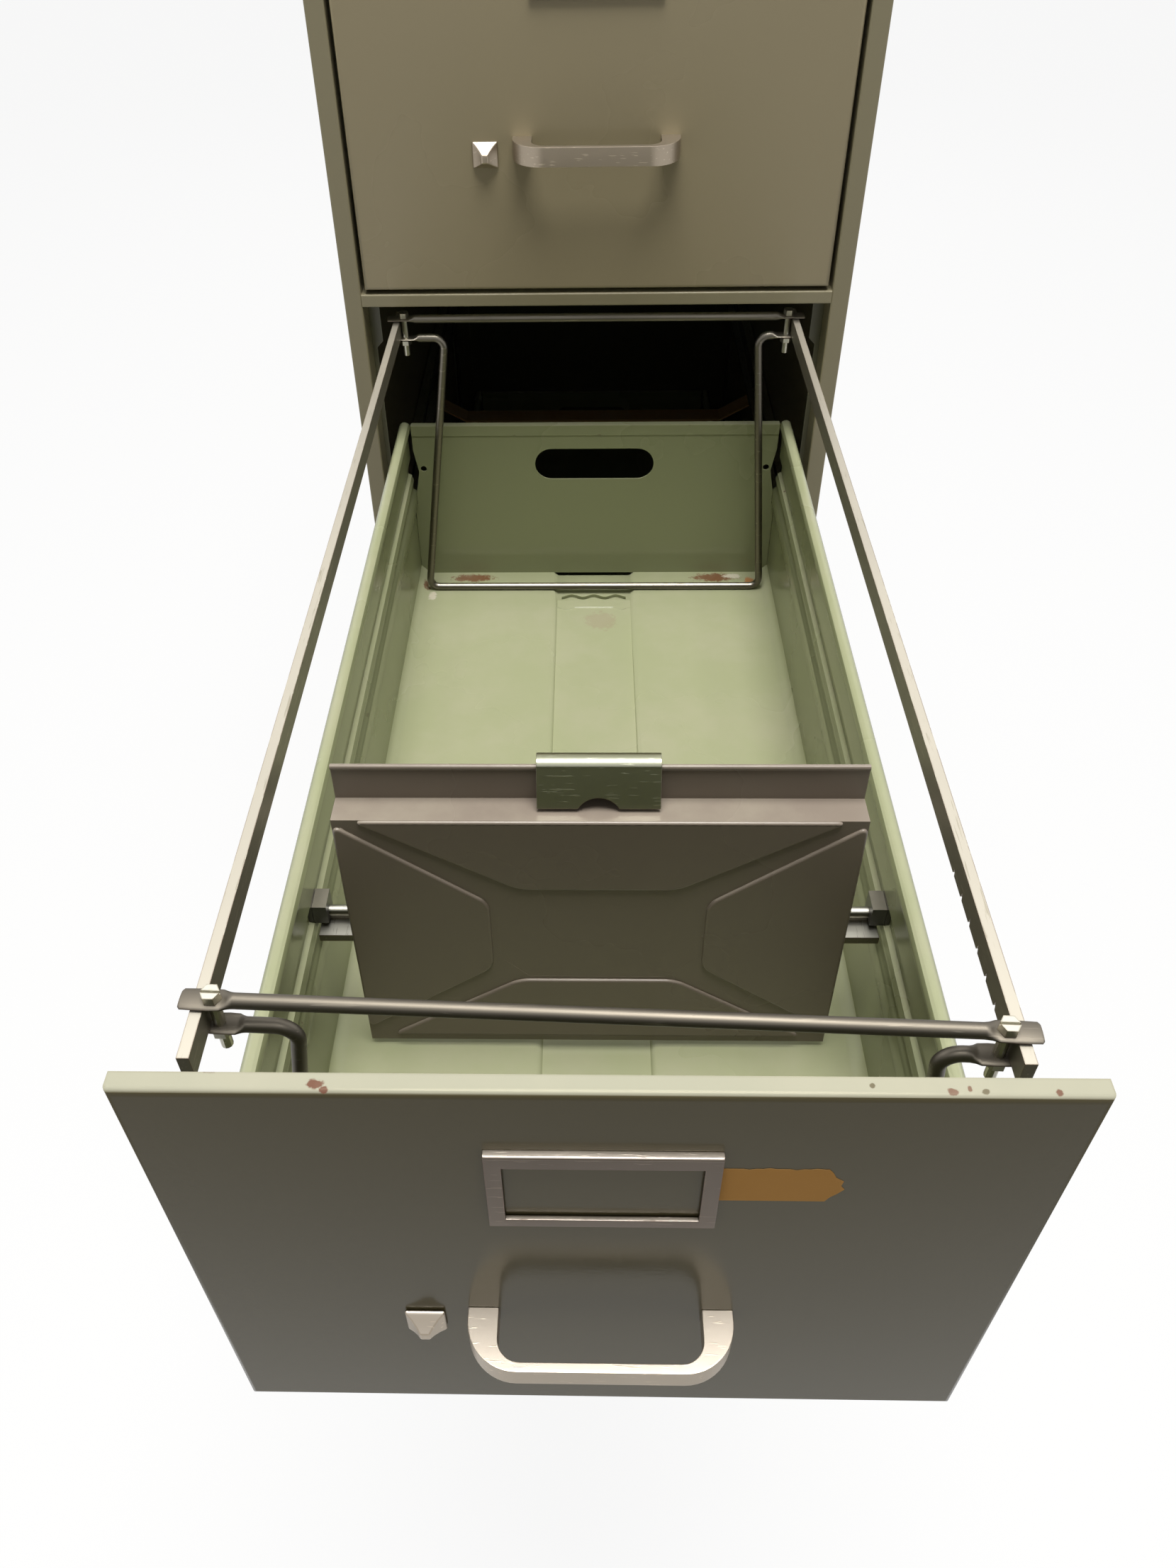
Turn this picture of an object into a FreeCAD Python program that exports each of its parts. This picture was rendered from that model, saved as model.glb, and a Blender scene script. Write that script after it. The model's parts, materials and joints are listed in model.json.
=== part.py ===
import FreeCAD, Part
import math
import os
import Sketcher
from types import SimpleNamespace

# Filing cabinet of folded sheet steel with four drawers on full-extension roller slides.
# Millimetres. +X right, +Y back, +Z up, origin on the floor at the middle of the footprint.
# The second drawer from the top stands open and holds a hanging-file frame and a follower.

vector = FreeCAD.Vector
doc = FreeCAD.newDocument("filing_cabinet")


# Driving sizes

CASE_SIZES = {
    "case_width": 381,
    "case_depth": 724,
    "case_sheet": 1.2,
    "stile_width": 13.5,
    "stile_lip": 22,
    "rear_flange": 20,
    "top_flange": 18,
    "header_height": 46,
    "rail_height": 9.5,
    "rail_depth": 20,
    "fold_round": 1.1,
    "plinth_height": 105,
    "kick_setback": 20,
    "reveal": 3,
    "post_sheet": 1.5,
    "post_web": 40,
    "post_flange": 16,
    "post_tab": 5,
    "post_tab_over": 6,
    "post_tab_length": 44,
    "post_notch": 27,
    "stop_gap": 0.5,
    "base_height": 25,
    "base_width": 40,
    "brace_width": 25,
    "brace_drop": 14,
    "brace_height": 10,
    "brace_sheet": 2,
    "brace_shoulder": 47.5,
    "brace_place": 378,
    "cut_margin": 1,
}

SLIDE_SIZES = {
    "travel_overlap": 41,
    "slide_middle": 36,
    "channel_height": 44,
    "channel_width": 10.3,
    "channel_sheet": 1.5,
    "channel_start": 30,
    "cradle_height": 36,
    "cradle_width": 9.7,
    "cradle_start": 32,
    "cradle_end_gap": 42,
    "slide_gap": 0.8,
    "roller_gap": 0.3,
    "case_roller_width": 7,
    "case_roller_back": 45,
    "drawer_roller_width": 6.5,
    "drawer_roller_back": 74,
    "drawer_roller_gap": 0.7,
    "roller_spacing": 200,
    "drawer_roller_spacing": 220,
    "roller_pin": 4,
    "runner_sheet": 1.2,
    "runner_height": 28,
}

DRAWER_SIZES = {
    "front_height": 277,
    "front_depth": 8.5,
    "front_sheet": 1.2,
    "front_round": 3,
    "front_return": 14,
    "tray_gap": 6,
    "tray_sheet": 1,
    "tray_rear_gap": 7.6,
    "floor_level": 13.5,
    "floor_channel_half": 33,
    "floor_channel_drop": 4,
    "floor_corner": 8,
    "floor_tab_back": 42,
    "floor_tab_length": 10,
    "floor_tab_wave": 16,
    "low_rib_level": 93,
    "low_rib_height": 17,
    "low_rib_depth": 2.5,
    "rib_gap": 5.5,
    "high_rib_height": 6,
    "high_rib_depth": 1.2,
    "groove_gap": 2,
    "groove_height": 16,
    "groove_depth": 3,
    "rib_slope": 1.5,
    "hem_radius": 4.75,
    "hem_top": 165,
    "hem_shift": 1.75,
    "hem_sink": 1.3,
    "inner_front_drop": 9,
    "back_drop": 3,
    "back_flange": 4.5,
    "back_gap": 0.3,
    "back_hem_height": 9,
    "back_hem_sheet": 0.8,
    "hand_slot_length": 103,
    "hand_slot_height": 29,
    "hand_slot_level": 125.5,
    "back_hole_margin": 11,
    "back_hole_level": 121.5,
    "back_hole_radius": 2.75,
    "back_notch_low": 98,
    "back_notch_high": 139,
    "back_notch_depth": 4,
}

FITTING_SIZES = {
    "handle_width": 116,
    "handle_foot": 13.5,
    "handle_reach": 27,
    "handle_bar": 4.2,
    "handle_height": 13,
    "handle_top": 106,
    "handle_round_out": 22,
    "handle_round_in": 10,
    "label_width": 88,
    "label_height": 54,
    "label_bottom": 187,
    "label_reach": 3.4,
    "label_sheet": 0.8,
    "label_side": 6.5,
    "label_upper": 9.5,
    "label_lower": 5,
    "label_lip": 2.6,
    "latch_gap": 19.4,
    "latch_width": 17.7,
    "latch_height": 17,
    "latch_level": 94.5,
    "latch_plate": 1.5,
    "latch_reach": 12,
    "latch_nose_width": 5,
    "latch_nose_height": 7,
    "latch_nose_drop": 2,
    "latch_border": 1.2,
    "latch_travel": 5,
    "latch_tongue_width": 6,
    "latch_tongue_height": 8,
    "latch_keeper": 3,
    "running_gap": 0.3,
}

HANGER_SIZES = {
    "hanger_rail_inset": 7,
    "hanger_rail_thick": 4.8,
    "hanger_rail_height": 12.7,
    "hanger_rail_drop": 12.5,
    "hanger_rail_start": 22,
    "hanger_rail_rear_gap": 11,
    "hanger_rail_chamfer": 2,
    "notch_start": 55.7,
    "notch_pitch": 13.8,
    "notch_width": 3,
    "notch_depth": 3.5,
    "rod_radius": 3.175,
    "rod_flat": 2.5,
    "flat_length": 21,
    "flat_width": 10,
    "flat_corner": 1.5,
    "bar_overlap": 1,
    "hanger_front_place": 41,
    "hanger_rear_gap": 28,
    "hanger_front_skew": 2.3,
    "wire_foot_gap": 10,
    "wire_lean_left": 32,
    "wire_lean_right": 23,
    "wire_bend": 6,
    "wire_tab_overlap": 4,
    "wire_floor_gap": 0.05,
    "screw_side_gap": 0.7,
    "screw_radius": 2.4,
    "screw_head_radius": 4,
    "screw_head_height": 4,
    "screw_slot": 1,
    "screw_slot_depth": 1.2,
    "screw_length": 30,
    "nut_radius": 4.5,
    "nut_height": 3.5,
    "hole_gap": 0.3,
}

FOLLOWER_SIZES = {
    "follower_side_gap": 22.5,
    "follower_sheet": 1.2,
    "follower_place": 215,
    "bar_drop": 4,
    "follower_lean": 1.7,
    "follower_face": 14.5,
    "follower_low": 101,
    "follower_high": 84.5,
    "follower_ledge": 17,
    "follower_flange": 21,
    "follower_roll": 1.6,
    "emboss_half_width": 56,
    "emboss_half_height": 38,
    "emboss_level": -3,
    "emboss_corner": 16,
    "emboss_depth": 2.5,
    "corner_rib_width": 4,
    "corner_rib_depth": 1.3,
    "ear_place": 62,
    "ear_thick": 2,
    "ear_height": 14,
    "clip_width": 67,
    "clip_sheet": 1.5,
    "clip_front_gap": 1,
    "clip_rear_gap": 4,
    "clip_head_room": 2.5,
    "clip_drop": 24,
    "clip_scallop": 13,
    "clip_pin": 1.6,
    "clip_pin_rise": 3,
    "clip_pin_reach": 3,
    "clip_scallop_depth": 0.5,
    "lug_gap": 0.5,
    "lug_reach": 4,
    "lug_height": 8,
    "bar_end_gap": 1,
    "strip_start": 75,
    "strip_end_gap": 3,
    "strip_front": 12.7,
    "strip_lip": 5,
    "strip_level": 7,
    "strip_sheet": 1.2,
    "shoe_length": 14,
    "shoe_width": 11,
}

TABLES = (CASE_SIZES, SLIDE_SIZES, DRAWER_SIZES, FITTING_SIZES, HANGER_SIZES, FOLLOWER_SIZES)
DRAWERS = (1, 2, 3, 4)
OPEN_DRAWER = 2
NOTCHES = 6
ROLLERS = 2
ROLLER_SIDES = 12
PIN_SIDES = 6
HOLE_SIDES = 12
SHANK_SIDES = 12
WIRE_SIDES = 12
HEM_SIDES = 12
MITRED = 1


# Sizes that carry their own sheet formula

class Size:
    """A length with the sheet formula that it comes from."""

    def __init__(self, value, formula):
        self.value = float(value)
        self.formula = formula

    def __add__(self, other):
        return joined(self, "+", other)

    def __radd__(self, other):
        return joined(other, "+", self)

    def __sub__(self, other):
        return joined(self, "-", other)

    def __rsub__(self, other):
        return joined(other, "-", self)

    def __mul__(self, other):
        return joined(self, "*", other)

    def __rmul__(self, other):
        return joined(other, "*", self)

    def __truediv__(self, other):
        return joined(self, "/", other)

    def __neg__(self):
        return joined(0, "-", self)


def as_size(item):
    if isinstance(item, Size):
        return item
    return Size(item, repr(item))


def joined(first, sign, second):
    left = as_size(first)
    right = as_size(second)
    results = {
        "+": left.value + right.value,
        "-": left.value - right.value,
        "*": left.value * right.value,
    }
    value = results[sign] if sign in results else left.value / right.value
    return Size(value, "(%s %s %s)" % (left.formula, sign, right.formula))


def make_sheet():
    """Write every driving size into the sheet and give each back by its alias."""
    sheet = doc.addObject("Spreadsheet::Sheet", "sizes")
    found = {}
    row = 0
    for table in TABLES:
        for alias, value in table.items():
            row += 1
            cell = "A%d" % row
            sheet.set(cell, str(value))
            sheet.setAlias(cell, alias)
            found[alias] = Size(value, "sizes." + alias)
    doc.recompute()
    return SimpleNamespace(**found)


d = make_sheet()


# Places shared by many pieces

front = -d.case_depth / 2
rear = d.case_depth / 2
side_inner = d.case_width / 2 - d.case_sheet
lip_inner = d.case_width / 2 - d.stile_width
front_width = 2 * (lip_inner - d.reveal)
pitch = d.front_height + d.rail_height + 2 * d.reveal
lowest_drawer = d.plinth_height + d.rail_height + d.reveal
case_height = lowest_drawer + 3 * pitch + d.front_height + d.reveal + d.header_height
under_top = case_height - d.case_sheet
post_front = front + d.stile_lip + d.stop_gap
post_inner = side_inner - d.post_sheet
post_flange_edge = side_inner - d.post_flange
back_inner = rear - 2 * d.case_sheet
channel_opening = post_inner - d.channel_width
cradle_outer = channel_opening - d.slide_gap
cradle_opening = cradle_outer - d.cradle_width
wall_outer = cradle_opening - d.tray_gap
wall_inner = wall_outer - d.tray_sheet
tray_end = d.case_depth - 2 * d.case_sheet - d.tray_rear_gap
drawer_travel = tray_end - d.travel_overlap
cradle_length = tray_end - d.cradle_start - d.cradle_end_gap
back_top = d.hem_top - d.back_drop
high_rib_level = d.low_rib_level + (d.low_rib_height + d.high_rib_height) / 2 + d.rib_gap
groove_level = high_rib_level + (d.high_rib_height + d.groove_height) / 2 + d.groove_gap
follower_bar_level = groove_level - d.bar_drop
latch_place = -(d.handle_width / 2 + d.latch_gap)
rail_place = wall_outer - d.hanger_rail_inset
rail_top = d.front_height - d.hanger_rail_drop
screw_place = rail_place - d.hanger_rail_thick / 2 - d.screw_radius - d.screw_side_gap
rear_frame_place = tray_end - d.hanger_rear_gap


def drawer_bottom(number):
    """Height of the lower edge of a drawer's front. Number 1 is the top drawer."""
    return lowest_drawer + (4 - number) * pitch


# Building tools

PLANE_ROLES = {"XY": "XY_Plane", "XZ": "XZ_Plane", "YZ": "YZ_Plane"}
VERTICAL_AXIS = -2
HORIZONTAL_AXIS = -1
NEAR = 1e-4


def bind(item, prop, size):
    item.setExpression(prop, as_size(size).formula)


def name_it(item, label):
    item.Label = label
    return item


def new_body(label):
    return name_it(doc.addObject("PartDesign::Body", label), label)


def place(item, along=None, back=None, up=None):
    """Move a finished piece to its place by sheet formulas."""
    for axis, size in (("x", along), ("y", back), ("z", up)):
        if size is not None:
            bind(item, "Placement.Base." + axis, size)
    return item


def arc_geometry(start, end, middle, turn):
    """Arc about a middle point, from start to end, turning left when turn is 1."""
    radius = math.hypot(start[0] - middle[0], start[1] - middle[1])
    first = math.atan2(start[1] - middle[1], start[0] - middle[0])
    last = math.atan2(end[1] - middle[1], end[0] - middle[0])
    circle = Part.Circle(vector(middle[0], middle[1], 0), vector(0, 0, 1), radius)
    if turn > 0:
        return Part.ArcOfCircle(circle, first, last)
    return Part.ArcOfCircle(circle, last, first)


class Rules:
    """Constraints of one sketch, given to it together, with the formulas of the driven ones."""

    def __init__(self, drawing):
        self.drawing = drawing
        self.rules = []
        self.formulas = []

    def join(self, first, first_end, second, second_end):
        self.rules.append(Sketcher.Constraint("Coincident", first, first_end, second, second_end))

    def length(self, kind, size, *ends):
        self.formulas.append((len(self.rules), size.formula))
        self.rules.append(Sketcher.Constraint(kind, *ends, size.value))

    def tie(self, geometry, corner, way, size):
        """Tie one coordinate of a sketch point: across when way is 0, up when it is 1."""
        size = as_size(size)
        if abs(size.value) < NEAR:
            axis = (VERTICAL_AXIS, HORIZONTAL_AXIS)[way]
            self.rules.append(Sketcher.Constraint("PointOnObject", geometry, corner, axis))
            return
        self.length(("DistanceX", "DistanceY")[way], size, -1, 1, geometry, corner)

    def settle(self):
        self.drawing.addConstraint(self.rules)
        for index, formula in self.formulas:
            self.drawing.setExpression("Constraints[%d]" % index, formula)


def draw_circle(drawing, rules, middle, radius):
    centre = [as_size(value) for value in middle]
    radius = as_size(radius)
    shape = Part.Circle(vector(centre[0].value, centre[1].value, 0), vector(0, 0, 1), radius.value)
    index = drawing.addGeometry(shape, False)
    for way in (0, 1):
        rules.tie(index, 3, way, centre[way])
    rules.length("Radius", radius, index)


def draw_loop(drawing, rules, corners):
    """Closed outline. A corner is (x, y), or (x, y, middle, turn) where an arc leaves it."""
    points = [(as_size(c[0]), as_size(c[1])) for c in corners]
    flat = [(p[0].value, p[1].value) for p in points]
    count = len(corners)
    shapes = []
    starts = []
    for index, corner in enumerate(corners):
        start = flat[index]
        end = flat[(index + 1) % count]
        if len(corner) == 2:
            shapes.append(Part.LineSegment(vector(*start, 0), vector(*end, 0)))
            starts.append(1)
            continue
        middle = [as_size(value).value for value in corner[2]]
        shapes.append(arc_geometry(start, end, middle, corner[3]))
        starts.append(1 if corner[3] > 0 else 2)
    first = len(drawing.Geometry)
    drawing.addGeometry(shapes, False)
    for index, corner in enumerate(corners):
        following = (index + 1) % count
        rules.join(first + index, 3 - starts[index], first + following, starts[following])
        for way in (0, 1):
            rules.tie(first + index, starts[index], way, points[index][way])
        if len(corner) > 2:
            start = flat[index]
            end = flat[following]
            way = 0 if abs(end[1] - start[1]) >= abs(end[0] - start[0]) else 1
            rules.tie(first + index, 3, way, corner[2][way])


def sketch(body, plane, offset, loops):
    drawing = body.newObject("Sketcher::SketchObject", body.Name + "_sketch")
    role = PLANE_ROLES[plane]
    origin_plane = [item for item in body.Origin.OriginFeatures if item.Role == role][0]
    drawing.AttachmentSupport = [(origin_plane, "")]
    drawing.MapMode = "FlatFace"
    bind(drawing, "AttachmentOffset.Base.z", offset)
    rules = Rules(drawing)
    for loop in loops:
        if loop[0] == "circle":
            draw_circle(drawing, rules, loop[1], loop[2])
        else:
            draw_loop(drawing, rules, loop)
    rules.settle()
    return drawing


def extrude(body, plane, low, high, *loops):
    """Add the outline between two places along the plane's axis."""
    low = as_size(low)
    high = as_size(high)
    offset = -high if plane == "XZ" else low
    pad = body.newObject("PartDesign::Pad", body.Name + "_pad")
    pad.Profile = sketch(body, plane, offset, loops)
    bind(pad, "Length", high - low)
    return pad


def cut_through(body, plane, low, high, *loops):
    """Remove the outline between two places along the plane's axis."""
    low = as_size(low)
    high = as_size(high)
    offset = -low if plane == "XZ" else high
    pocket = body.newObject("PartDesign::Pocket", body.Name + "_pocket")
    pocket.Profile = sketch(body, plane, offset, loops)
    bind(pocket, "Length", high - low)
    return pocket


def rectangle(left, low, right, high):
    return [(left, low), (right, low), (right, high), (left, high)]


def octagon(left, low, right, high, corner):
    return [
        (left + corner, low), (right - corner, low), (right, low + corner), (right, high - corner),
        (right - corner, high), (left + corner, high), (left, high - corner), (left, low + corner)]


def ring(across, up, radius, sides):
    """Corners of a round outline drawn with a few flat sides."""
    corners = []
    for index in range(sides):
        turn = 2 * math.pi * (index + 0.5) / sides
        corners.append((across + radius * math.cos(turn), up + radius * math.sin(turn)))
    return corners


def straight_along(edge, axis):
    """Whether an edge is straight and runs along one axis."""
    if edge.Degenerated or edge.Curve.TypeId != "Part::GeomLine":
        return False
    way = edge.Curve.Direction
    return abs(abs(getattr(way, axis)) - 1) < NEAR


def round_edges(body, base, radius, chosen):
    """Round the straight edges of a feature that the test picks out."""
    doc.recompute()
    names = []
    for index, edge in enumerate(base.Shape.Edges):
        if chosen(edge):
            names.append("Edge%d" % (index + 1))
    fillet = body.newObject("PartDesign::Fillet", body.Name + "_round")
    fillet.Base = (base, names)
    bind(fillet, "Radius", radius)
    return fillet


def mirrored(label, source):
    item = name_it(doc.addObject("Part::Mirroring", label), label)
    item.Source = source
    item.Normal = vector(1, 0, 0)
    return item


def grouped(label, items):
    item = name_it(doc.addObject("Part::Compound", label), label)
    item.Links = items
    return item


def fused(label, items):
    item = name_it(doc.addObject("Part::MultiFuse", label), label)
    item.Shapes = items
    return item


def prism(label, sides, radius, height):
    item = name_it(doc.addObject("Part::Prism", label), label)
    item.Polygon = sides
    bind(item, "Circumradius", radius)
    bind(item, "Height", height)
    return item


def roller_along(label, sides, radius, low, high, back, up):
    """Roller or pin about an axis along X, drawn with a few flat sides."""
    item = prism(label, sides, radius, as_size(high) - low)
    item.Placement = FreeCAD.Placement(vector(), FreeCAD.Rotation(vector(0, 1, 0), 90))
    return place(item, low, back, up)


# Cabinet case

def side_panel_right():
    """One sheet: outer skin, narrow front stile, return lip and rear flange."""
    outer = d.case_width / 2
    sheet = d.case_sheet
    body = new_body("side_panel_right")
    outline = [
        (outer, front), (outer, rear), (outer - d.rear_flange, rear),
        (outer - d.rear_flange, rear - sheet), (side_inner, rear - sheet),
        (side_inner, front + sheet), (lip_inner + sheet, front + sheet),
        (lip_inner + sheet, front + d.stile_lip), (lip_inner, front + d.stile_lip),
        (lip_inner, front)]
    skin = extrude(body, "XY", 0, under_top, outline)

    def front_corner(edge):
        middle = edge.CenterOfMass
        on_front = abs(middle.y - front.value) < NEAR
        return straight_along(edge, "z") and on_front

    round_edges(body, skin, d.case_sheet, front_corner)
    return body


def top_panel():
    """Top sheet with the header folded down in front, side flanges and a rear flange."""
    sheet = d.case_sheet
    half = d.case_width / 2
    header_low = case_height - d.header_height
    flange_low = under_top - d.top_flange
    body = new_body("top_panel")
    plate = extrude(body, "XY", under_top, case_height, rectangle(-half, front, half, rear))

    def front_edge(edge):
        middle = edge.CenterOfMass
        on_front = abs(middle.y - front.value) < NEAR
        on_top = abs(middle.z - case_height.value) < NEAR
        return straight_along(edge, "x") and on_front and on_top

    round_edges(body, plate, d.fold_round, front_edge)
    header = [
        (front, under_top), (front, header_low), (front + d.rail_depth, header_low),
        (front + d.rail_depth, header_low + sheet), (front + sheet, header_low + sheet),
        (front + sheet, under_top)]
    extrude(body, "YZ", -lip_inner, lip_inner, header)
    inner_rear = half - d.rear_flange
    extrude(body, "XY", flange_low, under_top, rectangle(-inner_rear, rear - sheet, inner_rear, rear))
    start = front + d.stile_lip
    for side in (-1, 1):
        low = side * side_inner
        high = side * (side_inner - sheet)
        extrude(body, "XY", flange_low, under_top, rectangle(low, start, high, back_inner))
    return body


def back_panel():
    body = new_body("back_panel")
    sheet = d.case_sheet
    extrude(body, "XY", 0, under_top, rectangle(-side_inner, back_inner, side_inner, rear - sheet))
    return body


def front_rail(label, bottom):
    """Channel between two drawers, open to the back, with a rounded bright front edge."""
    sheet = d.case_sheet
    top = bottom + d.rail_height
    body = new_body(label)
    outline = [
        (front, bottom), (front + d.rail_depth, bottom), (front + d.rail_depth, bottom + sheet),
        (front + sheet, bottom + sheet), (front + sheet, top - sheet),
        (front + d.rail_depth, top - sheet), (front + d.rail_depth, top), (front, top)]
    channel = extrude(body, "YZ", -lip_inner, lip_inner, outline)

    def front_edge(edge):
        return straight_along(edge, "x") and abs(edge.CenterOfMass.y - front.value) < NEAR

    round_edges(body, channel, d.fold_round, front_edge)
    return body


def kick_plate():
    """Plate set back under the bottom rail, with a flange on the floor and one under the rail."""
    sheet = d.case_sheet
    face = front + d.kick_setback - sheet
    body = new_body("kick_plate")
    outline = [
        (face, 0), (face + sheet, 0), (face + sheet, d.plinth_height),
        (front + sheet, d.plinth_height), (front + sheet, d.plinth_height - sheet),
        (face, d.plinth_height - sheet)]
    extrude(body, "YZ", -lip_inner, lip_inner, outline)
    foot = post_flange_edge - d.running_gap
    foot_end = face + d.rear_flange
    extrude(body, "XY", 0, sheet, rectangle(-foot, face, foot, foot_end))
    return body


def front_post_right():
    """Angle behind the stile. Its flange stops the drawers and is notched for the slides."""
    sheet = d.post_sheet
    edge = post_flange_edge
    body = new_body("front_post_right")
    outline = [
        (side_inner, post_front), (side_inner, post_front + d.post_web),
        (post_inner, post_front + d.post_web), (post_inner, post_front + sheet),
        (edge, post_front + sheet), (edge, post_front)]
    top = case_height - d.header_height
    extrude(body, "XY", 0, top, outline)
    for number in DRAWERS:
        level = drawer_bottom(number)
        middle = level + d.slide_middle
        margin = d.cut_margin
        notch_edge = channel_opening + margin
        notch = rectangle(edge - margin, middle - d.post_notch, notch_edge, middle + d.post_notch)
        cut_through(body, "XZ", post_front - margin, post_front + sheet + margin, notch)
        tab_high = level + d.front_height + d.post_tab_over
        tab_low = tab_high - d.post_tab_length
        tab = [
            (edge, tab_low), (edge, tab_high), (edge - d.post_tab, tab_high - d.post_tab),
            (edge - d.post_tab, tab_low + d.post_tab)]
        if number > 1:
            extrude(body, "XZ", post_front, post_front + sheet, tab)
    return body


def rear_posts():
    """Angles in the rear corners, flat on the side and the back."""
    sheet = d.post_sheet
    body = new_body("rear_post_right")
    outline = [
        (side_inner, back_inner - d.post_web), (side_inner, back_inner),
        (side_inner - d.post_web / 2, back_inner), (side_inner - d.post_web / 2, back_inner - sheet),
        (post_inner, back_inner - sheet), (post_inner, back_inner - d.post_web)]
    extrude(body, "XY", 0, case_height - d.header_height, outline)
    return grouped("rear_posts", [body, mirrored("rear_post_left", body)])


def base_channel():
    """Channel across the case at mid depth, flat on the floor."""
    sheet = d.post_sheet
    half = d.base_width / 2
    body = new_body("base_channel")
    outline = [
        (-half, 0), (half, 0), (half, d.base_height), (half - sheet, d.base_height),
        (half - sheet, sheet), (sheet - half, sheet), (sheet - half, d.base_height),
        (-half, d.base_height)]
    extrude(body, "YZ", -side_inner, side_inner, outline)
    return body


def cross_braces():
    """Hat section under each drawer whose ends rise to the slide channels."""
    sheet = d.brace_sheet
    braces = []
    top = d.slide_middle - d.channel_height / 2
    low = d.brace_height - d.brace_drop
    tab_start = channel_opening
    level_half = tab_start - d.brace_shoulder
    rise = level_half + d.brace_shoulder / 3
    for number in DRAWERS:
        body = new_body("cross_brace_%d" % number)
        upper = [
            (post_inner, top), (tab_start, top), (rise, low), (-rise, low), (-tab_start, top),
            (-post_inner, top)]
        lower = [
            (-post_inner, top - sheet), (-tab_start, top - sheet), (-rise, low - sheet),
            (rise, low - sheet), (tab_start, top - sheet), (post_inner, top - sheet)]
        start = d.brace_place + front
        extrude(body, "XZ", start, start + d.brace_width, upper + lower)
        foot = -d.brace_drop
        half = level_half
        for edge in (start, start + d.brace_width - sheet):
            extrude(body, "YZ", -half, half, rectangle(edge, foot, edge + sheet, low - sheet))
        place(body, up=drawer_bottom(number))
        braces.append(body)
    return grouped("cross_braces", braces)


# Slides

def lying_channel(label, web_outer, opening, half_height, sheet, start, end):
    """C section along Y about the slide's middle height, open towards the cabinet's middle."""
    middle = d.slide_middle
    body = new_body(label)
    outline = [
        (web_outer, middle - half_height), (web_outer, middle + half_height),
        (opening, middle + half_height), (opening, middle + half_height - sheet),
        (web_outer - sheet, middle + half_height - sheet),
        (web_outer - sheet, middle - half_height + sheet),
        (opening, middle - half_height + sheet), (opening, middle - half_height)]
    extrude(body, "XZ", start, end, outline)
    return body


def slide_channels(side):
    """Case halves of the slides on one side, seated on the posts' webs."""
    channels = []
    half = d.channel_height / 2
    for number in DRAWERS:
        label = "slide_channel_%d_%s" % (number, side)
        start = front + d.channel_start
        end = back_inner - d.post_sheet - d.running_gap
        body = lying_channel(label, post_inner, channel_opening, half, d.channel_sheet, start, end)
        place(body, up=drawer_bottom(number))
        channels.append(body)
    group = grouped("slide_channels_right", channels)
    if side == "right":
        return group
    name_it(group, "slide_channels_source")
    return mirrored("slide_channels_left", group)


def cradle(number, opened):
    """Middle members of one drawer's slides with the rollers that run in the case halves."""
    start = d.cradle_start
    end = start + cradle_length
    half = d.cradle_height / 2
    name = "drawer_%d_cradle" % number
    channel = lying_channel(
        name + "_channel", cradle_outer, cradle_opening, half, d.channel_sheet, start, end)
    pieces = [channel]
    radius = d.channel_height / 2 - d.channel_sheet - d.roller_gap
    tread_middle = (cradle_outer + post_inner - d.channel_sheet) / 2
    tread_inner = tread_middle - d.case_roller_width / 2
    for turn in range(ROLLERS):
        back = end - d.case_roller_back - turn * d.roller_spacing
        pieces.append(roller_along(
            "%s_wheel_%d" % (name, turn), ROLLER_SIDES, radius, tread_inner,
            tread_inner + d.case_roller_width, back, d.slide_middle))
        pieces.append(roller_along(
            "%s_pin_%d" % (name, turn), PIN_SIDES, d.roller_pin, cradle_outer - d.channel_sheet,
            tread_inner + d.cut_margin, back, d.slide_middle))
    right = fused(name + "_right", pieces)
    both = grouped(name, [right, mirrored(name + "_left", right)])
    return place(both, back=front - as_size(opened) / 2, up=drawer_bottom(number))


def runners(number, opened):
    """Runner strips on the tray's walls with the rollers that run in the cradles."""
    name = "drawer_%d_runners" % number
    half = d.runner_height / 2
    strip = new_body(name + "_strip")
    face = wall_outer + d.runner_sheet
    extrude(
        strip, "YZ", wall_outer, face,
        rectangle(d.stile_lip, d.slide_middle - half, tray_end - d.case_sheet, d.slide_middle + half))
    pieces = [strip]
    radius = d.cradle_height / 2 - d.channel_sheet - d.roller_gap
    tread_outer = cradle_outer - d.channel_sheet - d.drawer_roller_gap
    tread_inner = tread_outer - d.drawer_roller_width
    for turn in range(ROLLERS):
        back = tray_end - d.drawer_roller_back - turn * d.drawer_roller_spacing
        pieces.append(roller_along(
            "%s_wheel_%d" % (name, turn), ROLLER_SIDES, radius, tread_inner, tread_outer, back,
            d.slide_middle))
        pieces.append(roller_along(
            "%s_pin_%d" % (name, turn), PIN_SIDES, d.roller_pin, wall_outer,
            tread_inner + d.cut_margin, back, d.slide_middle))
    right = fused(name + "_right", pieces)
    both = grouped(name, [right, mirrored(name + "_left", right)])
    return place(both, back=front - opened, up=drawer_bottom(number))


# Drawers, each drawn with its front face at Y 0 and its lower edge at Z 0

def seat(item, number, opened):
    return place(item, back=front - opened, up=drawer_bottom(number))


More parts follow.
